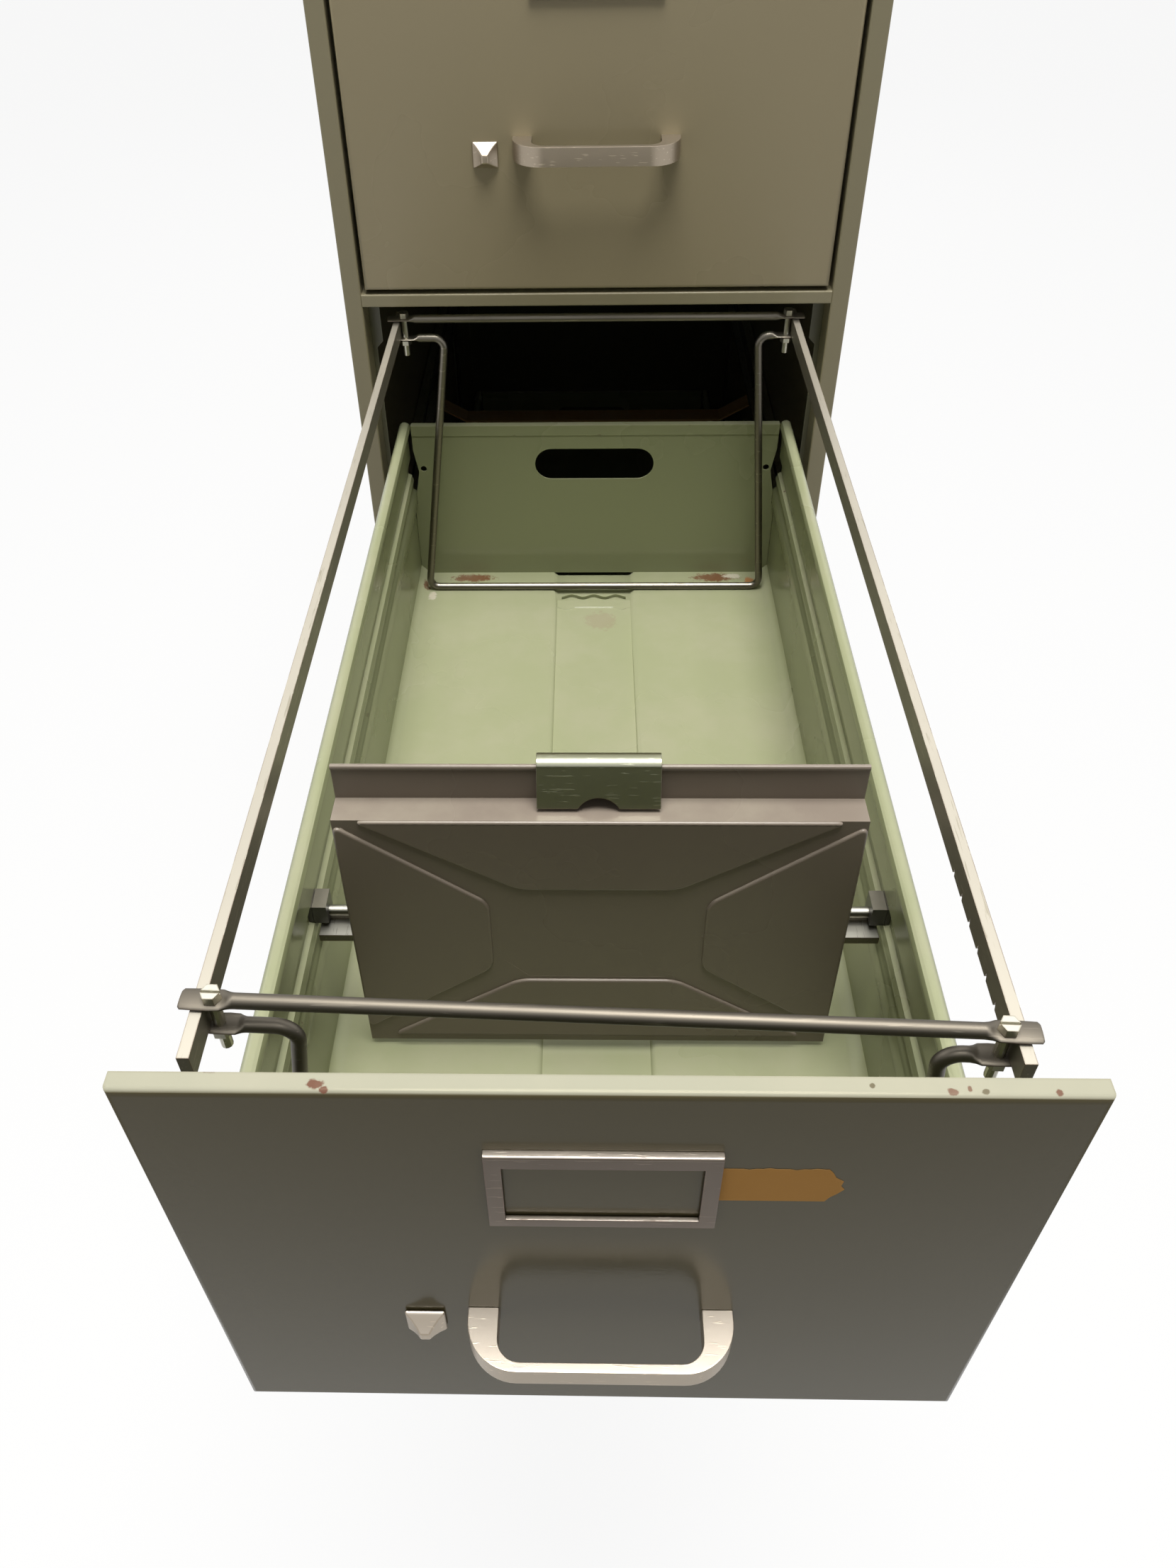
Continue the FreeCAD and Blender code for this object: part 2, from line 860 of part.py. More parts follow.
def drawer_front(number, opened):
    """Folded pan with rounded front edges, a return flange and the latch's slot."""
    half = front_width / 2
    sheet = d.front_sheet
    body = new_body("drawer_%d_front" % number)
    block = extrude(body, "XZ", 0, d.front_depth, rectangle(-half, 0, half, d.front_height))

    def front_edge(edge):
        return abs(edge.CenterOfMass.y) < NEAR

    round_edges(body, block, d.front_round, front_edge)
    hollow = rectangle(sheet - half, sheet, half - sheet, d.front_height - sheet)
    cut_through(body, "XZ", sheet, d.front_depth + d.cut_margin, hollow)
    fold = d.front_return
    outer = rectangle(-half + sheet / 2, sheet / 2, half - sheet / 2, d.front_height - sheet / 2)
    inner = rectangle(-half + fold, fold, half - fold, d.front_height - fold)
    extrude(body, "XZ", d.front_depth - sheet, d.front_depth, outer, inner)
    gap = d.running_gap
    slot_left = latch_place - d.latch_tongue_width / 2 - gap
    slot_right = latch_place + d.latch_tongue_width / 2 + d.latch_travel + gap
    slot_low = d.latch_level - d.latch_tongue_height / 2 - gap
    slot_high = d.latch_level + d.latch_tongue_height / 2 + gap
    slot = rectangle(slot_left, slot_low, slot_right, slot_high)
    cut_through(body, "XZ", -d.cut_margin, sheet + d.cut_margin, slot)
    return seat(body, number, opened)


def bulge(level, height, depth, edge):
    """A long rib, or a groove where the depth is negative, as four corners of a wall's line."""
    half = height / 2
    slope = d.rib_slope
    return [
        (edge, level - half), (edge - depth, level - half + slope),
        (edge - depth, level + half - slope), (edge, level + half)]


def rib_path(edge):
    """The two ribs' corners on a wall's line at the given distance from the middle."""
    return (
        bulge(d.low_rib_level, d.low_rib_height, d.low_rib_depth, edge)
        + bulge(high_rib_level, d.high_rib_height, d.high_rib_depth, edge))


hem_middle_up = d.hem_top - d.hem_radius


def wall_path(side):
    """Inner face of a tray wall from the floor up, as corners across and up."""
    path = [
        (wall_inner - d.floor_corner, d.floor_level), (wall_inner, d.floor_level + d.floor_corner)]
    path += rib_path(wall_inner)
    path += bulge(groove_level, d.groove_height, -d.groove_depth, wall_inner)
    path.append((wall_inner, hem_middle_up - d.hem_radius + d.hem_sink))
    return [(side * across, up) for across, up in path]


def drawer_tray(number, opened):
    """One sheet bent to a trough: channelled floor, ribbed and grooved walls, rolled edges."""
    sheet = d.tray_sheet
    body = new_body("drawer_%d_tray" % number)
    channel = d.floor_channel_half
    dip = d.floor_level - d.floor_channel_drop
    slope = d.floor_channel_drop
    right = wall_path(1)
    left = wall_path(-1)
    floor = [
        (-channel - slope, d.floor_level), (-channel, dip), (channel, dip),
        (channel + slope, d.floor_level)]
    inner = left[::-1] + floor + right
    outer_right = [(across + sheet, up) for across, up in right[:0:-1]]
    outer_left = [(across - sheet, up) for across, up in left[1:]]
    under_corner = wall_outer - d.floor_corner - sheet / 2
    under = [
        (under_corner, d.floor_level - sheet), (channel + slope, d.floor_level - sheet),
        (channel, dip - sheet), (-channel, dip - sheet), (-channel - slope, d.floor_level - sheet),
        (-under_corner, d.floor_level - sheet)]
    start = d.front_depth
    extrude(body, "XZ", start, tray_end, inner + outer_right + under + outer_left)
    for side in (-1, 1):
        middle = side * (wall_inner + d.hem_shift)
        hem = ring(middle, hem_middle_up, d.hem_radius, HEM_SIDES)
        bore = ring(middle, hem_middle_up, d.hem_radius - sheet, HEM_SIDES)
        extrude(body, "XZ", start, tray_end, hem, bore)
    plate_top = d.front_height - d.inner_front_drop
    plate_half = wall_inner - d.floor_corner
    corner_up = d.floor_level + d.floor_corner
    plate = [
        (-plate_half, dip - sheet), (plate_half, dip - sheet), (wall_inner, corner_up),
        (wall_inner, plate_top), (-wall_inner, plate_top), (-wall_inner, corner_up)]
    extrude(body, "XZ", start, start + sheet, plate)
    wave = d.floor_tab_wave
    tab_rear = tray_end - d.floor_tab_back
    tab_front = tab_rear - d.floor_tab_length
    crest = tab_front - wave / 4
    tab = [
        (channel, tab_rear), (-channel, tab_rear), (-channel, tab_front),
        (wave / 2 - channel, crest), (wave - channel, tab_front), (channel - wave, tab_front),
        (channel - wave / 2, crest), (channel, tab_front)]
    extrude(body, "XY", dip - sheet / 2, dip + sheet, tab)
    return seat(body, number, opened)


def drawer_back(number, opened):
    """Rear wall that follows the ribs, with a hand slot, two holes, notches and a hemmed top."""
    sheet = d.tray_sheet
    body = new_body("drawer_%d_back" % number)
    edge = wall_inner - d.back_gap
    top_half = wall_inner + d.hem_shift - d.hem_radius - d.back_gap
    deep = edge - d.low_rib_depth - d.back_notch_depth
    low = d.back_notch_low
    high = d.back_notch_high
    foot = d.floor_level
    rib = bulge(d.low_rib_level, d.low_rib_height, d.low_rib_depth, edge)
    right = [(edge - d.floor_corner, foot), (edge, foot + d.floor_corner)] + rib[:2]
    right += [
        (edge - d.low_rib_depth, low), (deep, (low + high) / 2), (top_half, high),
        (top_half, back_top)]
    left = [(-across, up) for across, up in right[::-1]]
    face = tray_end - sheet
    extrude(body, "XZ", face, tray_end, right + left)
    extrude(
        body, "XZ", face, tray_end + d.back_flange,
        rectangle(-top_half, back_top - sheet, top_half, back_top))
    extrude(
        body, "XZ", face - d.back_hem_sheet, face,
        rectangle(-top_half, back_top - d.back_hem_height, top_half, back_top))
    radius = d.hand_slot_height / 2
    reach = d.hand_slot_length / 2 - radius
    level = d.hand_slot_level
    slot = [
        (reach, level - radius, (reach, level), 1), (reach, level + radius),
        (-reach, level + radius, (-reach, level), 1), (-reach, level - radius)]
    cut_through(body, "XZ", face - d.cut_margin, tray_end + d.cut_margin, slot)
    for side in (-1, 1):
        middle = side * (wall_inner - d.back_hole_margin)
        hole = ring(middle, d.back_hole_level, d.back_hole_radius, HOLE_SIDES)
        cut_through(body, "XZ", face - d.cut_margin, tray_end + d.cut_margin, hole)
    return seat(body, number, opened)


def drawer_handle(number, opened):
    """Arched pull: two feet on the front and a thin bar between them."""
    half = d.handle_width / 2
    foot = half - d.handle_foot
    reach = -d.handle_reach
    inside = reach + d.handle_bar
    body = new_body("drawer_%d_handle" % number)
    outer = d.handle_round_out
    inner = d.handle_round_in
    outline = [
        (half, 0), (foot, 0), (foot, inside + inner, (foot - inner, inside + inner), -1),
        (foot - inner, inside), (inner - foot, inside, (inner - foot, inside + inner), -1),
        (-foot, inside + inner), (-foot, 0), (-half, 0),
        (-half, reach + outer, (outer - half, reach + outer), 1),
        (outer - half, reach), (half - outer, reach, (half - outer, reach + outer), 1),
        (half, reach + outer)]
    extrude(body, "XY", d.handle_top - d.handle_height, d.handle_top, outline)
    return seat(body, number, opened)


def label_frame(number, opened):
    """Pressed frame for a paper label: side and lower skirts, window, thick upper lip."""
    half = d.label_width / 2
    low = d.label_bottom
    high = low + d.label_height
    sheet = d.label_sheet
    reach = -d.label_reach
    body = new_body("drawer_%d_label_frame" % number)
    window = rectangle(
        d.label_side - half, low + d.label_lower, half - d.label_side, high - d.label_upper)
    extrude(body, "XZ", reach, reach + sheet, rectangle(-half, low, half, high), window)
    skirt = [
        (-half, high), (-half, low), (half, low), (half, high), (half - sheet, high),
        (half - sheet, low + sheet), (sheet - half, low + sheet), (sheet - half, high)]
    extrude(body, "XZ", reach, 0, skirt)
    lip = rectangle(reach - sheet, high - d.label_lip, reach + d.label_lip, high)
    extrude(body, "YZ", sheet - half, half - sheet, lip)
    return seat(body, number, opened)


def latch(number, opened):
    """Thumb latch: square base, nose that narrows to a ridge, tongue and keeper behind."""
    name = "drawer_%d_latch" % number
    gap = d.running_gap
    half = d.latch_width / 2
    tall = d.latch_height / 2
    plate_front = -gap - d.latch_plate
    body = new_body(name + "_body")
    extrude(body, "XZ", plate_front, -gap, rectangle(-half, -tall, half, tall))
    tongue = d.latch_tongue_width / 2
    tongue_tall = d.latch_tongue_height / 2
    inside = d.front_sheet + gap
    extrude(body, "XZ", -gap, inside, rectangle(-tongue, -tongue_tall, tongue, tongue_tall))
    keeper = d.latch_keeper
    extrude(
        body, "XZ", inside, inside + keeper / 2,
        rectangle(-tongue - keeper, -tongue_tall - keeper, tongue + keeper, tongue_tall + keeper))
    nose = name_it(doc.addObject("Part::Wedge", name + "_nose"), name + "_nose")
    tip = d.latch_nose_width / 2
    tip_tall = d.latch_nose_height / 2
    border = d.latch_border
    sides = {
        "Ymin": -d.latch_reach, "Ymax": plate_front,
        "Xmin": -tip, "Xmax": tip,
        "Zmin": -tip_tall - d.latch_nose_drop, "Zmax": tip_tall - d.latch_nose_drop,
        "X2min": border - half, "X2max": half - border,
        "Z2min": border - tall, "Z2max": tall - border}
    for prop, size in sides.items():
        bind(nose, prop, size)
    whole = fused(name, [body, nose])
    return place(
        whole, along=latch_place, back=front - opened, up=drawer_bottom(number) + d.latch_level)


# Hanging-file frame in the open drawer

def hanging_rail(side):
    """Flat bar on edge. The right one has break-off notches in its lower edge."""
    label = "hanging_rail_right" if side > 0 else "hanging_rail_left"
    body = new_body(label)
    low = rail_top - d.hanger_rail_height
    chamfer = d.hanger_rail_chamfer
    end = tray_end - d.hanger_rail_rear_gap
    outline = [
        (d.hanger_rail_start, rail_top), (d.hanger_rail_start, low + chamfer),
        (d.hanger_rail_start + chamfer, low), (end, low), (end, rail_top)]
    half = d.hanger_rail_thick / 2
    extrude(body, "YZ", side * rail_place - half, side * rail_place + half, outline)
    if side > 0:
        for index in range(NOTCHES):
            middle = d.notch_start + index * d.notch_pitch
            notch = [
                (middle - d.notch_width / 2, low - d.cut_margin),
                (middle + d.notch_width / 2, low - d.cut_margin),
                (middle, low + d.notch_depth)]
            cut_through(
                body, "YZ", side * rail_place - 2 * half,
                side * rail_place + 2 * half, notch)
    return seat(body, OPEN_DRAWER, drawer_travel)


def flat_end(body, side, level, reach):
    """Flattened rod end: a flat tongue with clipped corners and a screw hole."""
    half = d.flat_width / 2
    thick = d.rod_flat / 2
    start = reach - d.flat_length
    corner = d.flat_corner
    outline = [
        (side * start, -half), (side * (reach - corner), -half), (side * reach, corner - half),
        (side * reach, half - corner), (side * (reach - corner), half), (side * start, half)]
    hole = ring(side * screw_place, 0, d.screw_radius + d.hole_gap, HOLE_SIDES)
    extrude(body, "XY", level - thick, level + thick, outline)
    cut_through(body, "XY", level - 2 * d.rod_radius, level + 2 * d.rod_radius, hole)


def set_frame(body, place_back, skew):
    """Stand a cross frame at its place along the drawer, turned a little about Z."""
    seat(body, OPEN_DRAWER, drawer_travel)
    place(body, back=front - drawer_travel + place_back)
    if skew is not None:
        body.Placement = FreeCAD.Placement(
            body.Placement.Base, FreeCAD.Rotation(vector(0, 0, 1), -skew.value))
        seat(body, OPEN_DRAWER, drawer_travel)
        place(body, back=front - drawer_travel + place_back)
    return body


def cross_bar(label, place_back, skew):
    """Round rod with flattened ends that lie on the rails."""
    body = new_body(label)
    level = rail_top + d.rod_flat / 2
    reach = wall_outer
    plain = reach - d.flat_length + d.bar_overlap
    extrude(body, "YZ", -plain, plain, ("circle", (0, level), d.rod_radius))
    for side in (-1, 1):
        flat_end(body, side, level, reach)
    return set_frame(body, place_back, skew)


def eased(points, radius):
    """The path's points, each inner corner replaced by the two points where its bend would touch."""
    eased_points = [points[0]]
    for before, corner, after in zip(points, points[1:], points[2:]):
        into = (corner - before).normalize()
        out = (after - corner).normalize()
        trim = radius * math.tan(into.getAngle(out) / 2)
        eased_points += [corner - into * trim, corner + out * trim]
    return eased_points + [points[-1]]


def u_frame(label, place_back, skew):
    """Wire bent to a U that stands on the tray's floor, with flattened ends under the rails."""
    low = d.floor_level + d.rod_radius + d.wire_floor_gap
    tab_level = rail_top - d.hanger_rail_height - d.rod_flat / 2
    reach = screw_place + d.flat_width / 2
    start = reach - d.flat_length + d.wire_tab_overlap
    foot = wall_inner - d.wire_foot_gap
    corners = [
        (start, tab_level), (foot - d.wire_lean_right, tab_level), (foot, low),
        (-foot, low), (d.wire_lean_left - foot, tab_level), (-start, tab_level)]
    points = [vector(as_size(across).value, 0, as_size(up).value) for across, up in corners]
    path = Part.makePolygon(eased(points, d.wire_bend.value))
    around = [
        points[0] + vector(0, back, up)
        for back, up in ring(0, 0, d.rod_radius.value, WIRE_SIDES)]
    section = Part.makePolygon(around + around[:1])
    rod = name_it(doc.addObject("Part::Feature", label + "_rod"), label + "_rod")
    rod.Shape = path.makePipeShell([section], True, False, MITRED)
    tabs = new_body(label + "_tabs")
    for side in (-1, 1):
        flat_end(tabs, side, tab_level, reach)
    whole = fused(label, [rod, tabs])
    return set_frame(whole, place_back, skew)


def frame_screws(label, place_back, skew):
    """Slotted hexagon screws that clamp a rail between the cross bar and the wire."""
    top = rail_top + d.rod_flat
    low = top - d.screw_length
    nut_top = rail_top - d.hanger_rail_height - d.rod_flat
    name = label + "_one"
    shank = prism(name + "_shank", SHANK_SIDES, d.screw_radius, d.screw_length + d.cut_margin)
    place(shank, screw_place, 0, low)
    head = prism(name + "_head", 6, d.screw_head_radius, d.screw_head_height)
    place(head, screw_place, 0, top)
    nut = prism(name + "_nut", 6, d.nut_radius, d.nut_height)
    place(nut, screw_place, 0, nut_top - d.nut_height)
    slot = name_it(doc.addObject("Part::Box", name + "_slot"), name + "_slot")
    bind(slot, "Length", 4 * d.screw_head_radius)
    bind(slot, "Width", d.screw_slot)
    bind(slot, "Height", d.screw_head_height)
    place(
        slot, screw_place - 2 * d.screw_head_radius, -d.screw_slot / 2,
        top + d.screw_head_height - d.screw_slot_depth)
    solid = fused(name + "_solid", [shank, head, nut])
    screw = name_it(doc.addObject("Part::Cut", name), name)
    screw.Base = solid
    screw.Tool = slot
    both = grouped(label, [screw, mirrored(name + "_left", screw)])
    return set_frame(both, place_back, skew)


# Follower in the open drawer, drawn about its bar's axis

def follower_seat(item, lean):
    """Put a follower piece on the bar's axis, leaning back at the top."""
    if lean:
        item.Placement = FreeCAD.Placement(
            vector(), FreeCAD.Rotation(vector(1, 0, 0), -d.follower_lean.value))
    return on_bar(item)


def follower_plate():
    """Pressed plate: raised octagon, corner ribs, ledge and rolled flange, ears for the bar."""
    body = new_body("follower_plate")
    sheet = d.follower_sheet
    half = wall_inner - d.follower_side_gap
    face = -d.follower_face
    ledge = face + d.follower_ledge
    high = d.follower_high
    rim = high + d.follower_flange
    outline = [
        (face, -d.follower_low), (face + sheet, -d.follower_low), (face + sheet, high - sheet),
        (ledge + sheet, high - sheet), (ledge + sheet, rim), (ledge, rim), (ledge, high), (face, high)]
    extrude(body, "YZ", -half, half, outline)
    roll = ("circle", (ledge + sheet / 2, rim), d.follower_roll)
    extrude(body, "YZ", -half, half, roll)
    wide = d.emboss_half_width
    low = d.emboss_level - d.emboss_half_height
    top = d.emboss_level + d.emboss_half_height
    corner = d.emboss_corner
    raised = face - d.emboss_depth
    extrude(body, "XZ", raised, face + sheet, octagon(-wide, low, wide, top, corner))
    hollow = octagon(sheet - wide, low + sheet, wide - sheet, top - sheet, corner)
    cut_through(body, "XZ", raised + sheet, face + sheet + d.cut_margin, hollow)
    rib = d.corner_rib_width
    for side in (-1, 1):
        for near, far in ((top, high - rib), (low, rib - d.follower_low)):
            reach = half - rib
            strip = [
                (side * (wide - rib), near), (side * wide, near), (side * reach, far),
                (side * (reach - rib), far)]
            extrude(body, "XZ", face - d.corner_rib_depth, face + sheet / 2, strip)
    bore = d.rod_radius + d.hole_gap
    tall = d.ear_height / 2
    for side in (-1, 1):
        inner = side * d.ear_place - d.ear_thick / 2
        outer = side * d.ear_place + d.ear_thick / 2
        ear = [
            (raised + sheet / 2, -tall), (0, -tall, (0, 0), 1), (0, tall), (raised + sheet / 2, tall)]
        extrude(body, "YZ", inner, outer, ear, ring(0, 0, bore, HOLE_SIDES))
    pin_bore = d.clip_pin + d.hole_gap
    pin_back = clip_pin_back()
    for side in (-1, 1):
        middle = side * (d.clip_width / 2 + d.ear_thick / 2 + d.lug_gap)
        inner = middle - d.ear_thick / 2
        outer = middle + d.ear_thick / 2
        lug = rectangle(ledge + sheet / 2, high - sheet, pin_back + d.lug_reach, high + d.lug_height)
        eye = ring(pin_back, clip_pin_up(), pin_bore, HOLE_SIDES)
        extrude(body, "YZ", inner, outer, lug, eye)
    return follower_seat(body, True)


def clip_pin_back():
    """How far behind the bar's axis the clip's pin lies."""
    return -d.follower_face + d.follower_ledge + d.follower_sheet + d.clip_rear_gap + d.clip_sheet / 2


def clip_pin_up():
    return d.follower_high + d.clip_pin_rise


def follower_clip():
    """Spring clip over the plate's flange: front face with a scallop, bridge, rear leg on a pin."""
    body = new_body("follower_clip")
    sheet = d.clip_sheet
    half = d.clip_width / 2
    flange = -d.follower_face + d.follower_ledge
    rim = d.follower_high + d.follower_flange
    top = rim + d.follower_roll + d.clip_head_room + sheet
    front_in = flange - d.follower_roll - d.clip_front_gap
    rear_in = flange + d.follower_sheet + d.clip_rear_gap
    low = top - d.clip_drop
    foot = clip_pin_up() - d.clip_pin
    outline = [
        (front_in - sheet, low), (front_in, low), (front_in, top - sheet), (rear_in, top - sheet),
        (rear_in, foot), (rear_in + sheet, foot), (rear_in + sheet, top), (front_in - sheet, top)]
    extrude(body, "YZ", -half, half, outline)
    radius = d.clip_scallop
    margin = d.cut_margin
    scallop = [
        (radius, low - margin), (radius, low, (0, low), 1), (-radius, low), (-radius, low - margin)]
    cut_through(body, "XZ", front_in - sheet - margin, front_in + d.clip_scallop_depth, scallop)
    pin_end = half + d.clip_pin_reach
    pin = ring(clip_pin_back(), clip_pin_up(), d.clip_pin, HOLE_SIDES)
    extrude(body, "YZ", -pin_end, pin_end, pin)
    return follower_seat(body, True)


def on_bar(item):
    """Put a piece that is drawn about the bar's axis in the open drawer, upright."""
    return place(
        item, back=front - drawer_travel + d.follower_place,
        up=drawer_bottom(OPEN_DRAWER) + follower_bar_level)


def follower_bar():
    """Rod between the two shoes, with a folded strip under it at each side of the plate."""
    reach = wall_inner - d.bar_end_gap
    body = new_body("follower_bar")
    extrude(body, "YZ", -reach, reach, ("circle", (0, 0), d.rod_radius))
    sheet = d.strip_sheet
    level = -d.strip_level
    strip = [
        (-d.strip_front, level - d.strip_lip), (sheet - d.strip_front, level - d.strip_lip),
        (sheet - d.strip_front, level - sheet), (sheet / 2, level - sheet), (sheet / 2, 0),
        (-sheet / 2, 0), (-sheet / 2, level), (-d.strip_front, level)]
    outer = wall_inner - d.strip_end_gap
    extrude(body, "YZ", d.strip_start, outer, strip)
    extrude(body, "YZ", -outer, -d.strip_start, strip)
    return on_bar(body)


def follower_shoes():
    """Shoes on the bar's ends that ride in the grooves of the tray's walls."""
    outer = wall_inner + d.groove_depth - d.running_gap
    body = new_body("follower_shoe_right")
    half = d.shoe_length / 2
    tall = d.groove_height / 2 - d.rib_slope - d.running_gap
    lift = d.bar_drop
    block = rectangle(-half, lift - tall, half, lift + tall)
    extrude(body, "YZ", wall_inner, outer, block)
    foot = rectangle(-half, -d.rod_radius, half, lift + tall)
    inner = outer - d.shoe_width
    extrude(body, "YZ", inner, wall_inner - d.running_gap, foot)
    neck = rectangle(-half / 2, lift - tall / 2, half / 2, lift + tall / 2)
    extrude(body, "YZ", wall_inner - d.bar_end_gap, wall_inner + d.running_gap, neck)
    bore = ("circle", (0, 0), d.rod_radius)
    cut_through(body, "YZ", inner - d.cut_margin, wall_inner - d.bar_end_gap, bore)
    both = grouped("follower_shoes", [body, mirrored("follower_shoe_left", body)])
    return on_bar(both)


# Assembly

def build_case():
    right_side = side_panel_right()
    right_post = front_post_right()
    pieces = [
        right_side, mirrored("side_panel_left", right_side), back_panel(), top_panel(),
        front_rail("bottom_rail", d.plinth_height), kick_plate(), right_post,
        mirrored("front_post_left", right_post), rear_posts(), base_channel(), cross_braces(),
        slide_channels("right"), slide_channels("left")]
    for number in (1, 2, 3):
        bottom = drawer_bottom(number) - d.reveal - d.rail_height
        pieces.append(front_rail("divider_rail_%d" % number, bottom))
    return pieces


def build_drawer(number):
    opened = drawer_travel if number == OPEN_DRAWER else as_size(0)
    makers = (
        drawer_front, drawer_tray, drawer_back, drawer_handle, label_frame, runners, cradle, latch)
    return [make(number, opened) for make in makers]


def build_hanger():
    pieces = [hanging_rail(1), hanging_rail(-1)]
    ends = (("front", d.hanger_front_place, d.hanger_front_skew), ("rear", rear_frame_place, None))
    for end, back, skew in ends:
        pieces.append(cross_bar("cross_bar_" + end, back, skew))
        pieces.append(u_frame("u_frame_" + end, back, skew))
        pieces.append(frame_screws("screws_" + end, back, skew))
    return pieces


def build_all():
    pieces = build_case()
    for number in DRAWERS:
        pieces += build_drawer(number)
    pieces += build_hanger()
    pieces += [follower_plate(), follower_clip(), follower_bar(), follower_shoes()]
    return pieces


def check(pieces):
    """Stop if any object failed or any sub-part is empty or invalid."""
    for item in doc.Objects:
        if "Invalid" in item.State or "Error" in item.State:
            raise RuntimeError("failed: %s %s" % (item.Label, item.State))
        if item.TypeId == "Part::Feature" and not item.Shape.isValid():
            raise RuntimeError("bad shape: " + item.Label)
    for item in pieces:
        if item.Shape.isNull() or not item.Shape.isValid() or not item.Shape.Solids:
            raise RuntimeError("bad shape: " + item.Label)


def export(pieces):
    os.makedirs("parts", exist_ok=True)
    for item in pieces:
        item.Shape.exportStep("parts/%s.step" % item.Label)


sub_parts = build_all()
doc.recompute()
check(sub_parts)
export(sub_parts)
print("sub-parts written:", len(sub_parts))
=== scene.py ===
import json
import math
import bmesh
import bpy
from mathutils import Matrix, Vector

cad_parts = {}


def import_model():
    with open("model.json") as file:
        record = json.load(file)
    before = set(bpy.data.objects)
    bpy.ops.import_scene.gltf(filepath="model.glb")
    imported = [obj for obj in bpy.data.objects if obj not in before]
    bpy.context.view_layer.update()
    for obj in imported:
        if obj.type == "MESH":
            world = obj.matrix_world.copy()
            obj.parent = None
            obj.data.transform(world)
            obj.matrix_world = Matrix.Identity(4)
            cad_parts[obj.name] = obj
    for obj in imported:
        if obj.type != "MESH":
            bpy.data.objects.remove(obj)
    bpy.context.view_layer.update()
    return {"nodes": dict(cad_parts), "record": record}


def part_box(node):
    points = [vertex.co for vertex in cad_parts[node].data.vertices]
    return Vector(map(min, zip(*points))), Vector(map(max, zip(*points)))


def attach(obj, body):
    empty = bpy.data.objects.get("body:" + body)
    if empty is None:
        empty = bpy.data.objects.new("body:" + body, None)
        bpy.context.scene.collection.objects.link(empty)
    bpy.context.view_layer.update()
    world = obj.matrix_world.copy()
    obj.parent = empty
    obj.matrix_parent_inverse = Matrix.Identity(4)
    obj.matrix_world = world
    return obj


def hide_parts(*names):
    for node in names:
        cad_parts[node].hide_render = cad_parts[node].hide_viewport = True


# Looks of a four-drawer filing cabinet whose second drawer stands open.
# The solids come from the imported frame. This script gives them their finishes, and models the
# rounder fittings again by hand.

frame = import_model()
nodes = frame["nodes"]

MM = 0.001
DRAWERS = (1, 2, 3, 4)
OPEN_DRAWER = 2
OPEN_BODY = "drawer_%d" % OPEN_DRAWER


# Colours, written as they look on a screen

def shade(red, green, blue):
    """A screen colour from 0 to 255 as the linear colour that shaders take."""
    def linear(value):
        part = value / 255
        return part / 12.92 if part <= 0.04045 else ((part + 0.055) / 1.055) ** 2.4
    return (linear(red), linear(green), linear(blue), 1)


def brighter(colour, times):
    """A screen colour made brighter, as the linear colour that shaders take."""
    return shade(*[min(255, value * times) for value in colour])


# Node groups that several finishes share

class Bench:
    """Puts a node tree together: its nodes, links and sums."""

    def __init__(self, tree):
        self.tree = tree

    def node(self, kind, **settings):
        item = self.tree.nodes.new(kind)
        for key, value in settings.items():
            setattr(item, key, value)
        return item

    def join(self, start, end):
        self.tree.links.new(start, end)

    def feed(self, socket, value):
        """Give a socket a number of its own, or the output of another node."""
        if isinstance(value, (int, float)):
            socket.default_value = value
        else:
            self.join(value, socket)

    def math(self, operation, first, second):
        item = self.node("ShaderNodeMath", operation=operation)
        self.feed(item.inputs[0], first)
        self.feed(item.inputs[1], second)
        return item.outputs[0]


class Group(Bench):
    """A shader node group under construction."""

    def __init__(self, name, inputs, outputs):
        super().__init__(bpy.data.node_groups.new(name, "ShaderNodeTree"))
        for kind, label, value in inputs:
            socket = self.tree.interface.new_socket(label, in_out="INPUT", socket_type=kind)
            socket.default_value = value
        for kind, label in outputs:
            self.tree.interface.new_socket(label, in_out="OUTPUT", socket_type=kind)
        self.given = self.node("NodeGroupInput").outputs
        self.result = self.node("NodeGroupOutput").inputs

    def place(self):
        return self.node("ShaderNodeTexCoord").outputs["Object"]

    def normal(self):
        return self.node("ShaderNodeNewGeometry").outputs["Normal"]

    def vectors(self, operation, *values):
        """Outputs of a sum on vectors."""
        item = self.node("ShaderNodeVectorMath", operation=operation)
        for socket, value in zip(item.inputs, values):
            self.join(value, socket)
        return item.outputs

    def noise(self, vector, scale, detail, roughness):
        item = self.node("ShaderNodeTexNoise")
        item.inputs["Detail"].default_value = detail
        item.inputs["Roughness"].default_value = roughness
        self.feed(item.inputs["Scale"], scale)
        self.join(vector, item.inputs["Vector"])
        return item.outputs["Fac"]

    def ramp(self, value, low, high):
        """Smooth step from 0 at low to 1 at high."""
        item = self.node("ShaderNodeMapRange", interpolation_type="SMOOTHSTEP")
        self.join(value, item.inputs["Value"])
        self.feed(item.inputs["From Min"], low)
        self.feed(item.inputs["From Max"], high)
        return item.outputs["Result"]


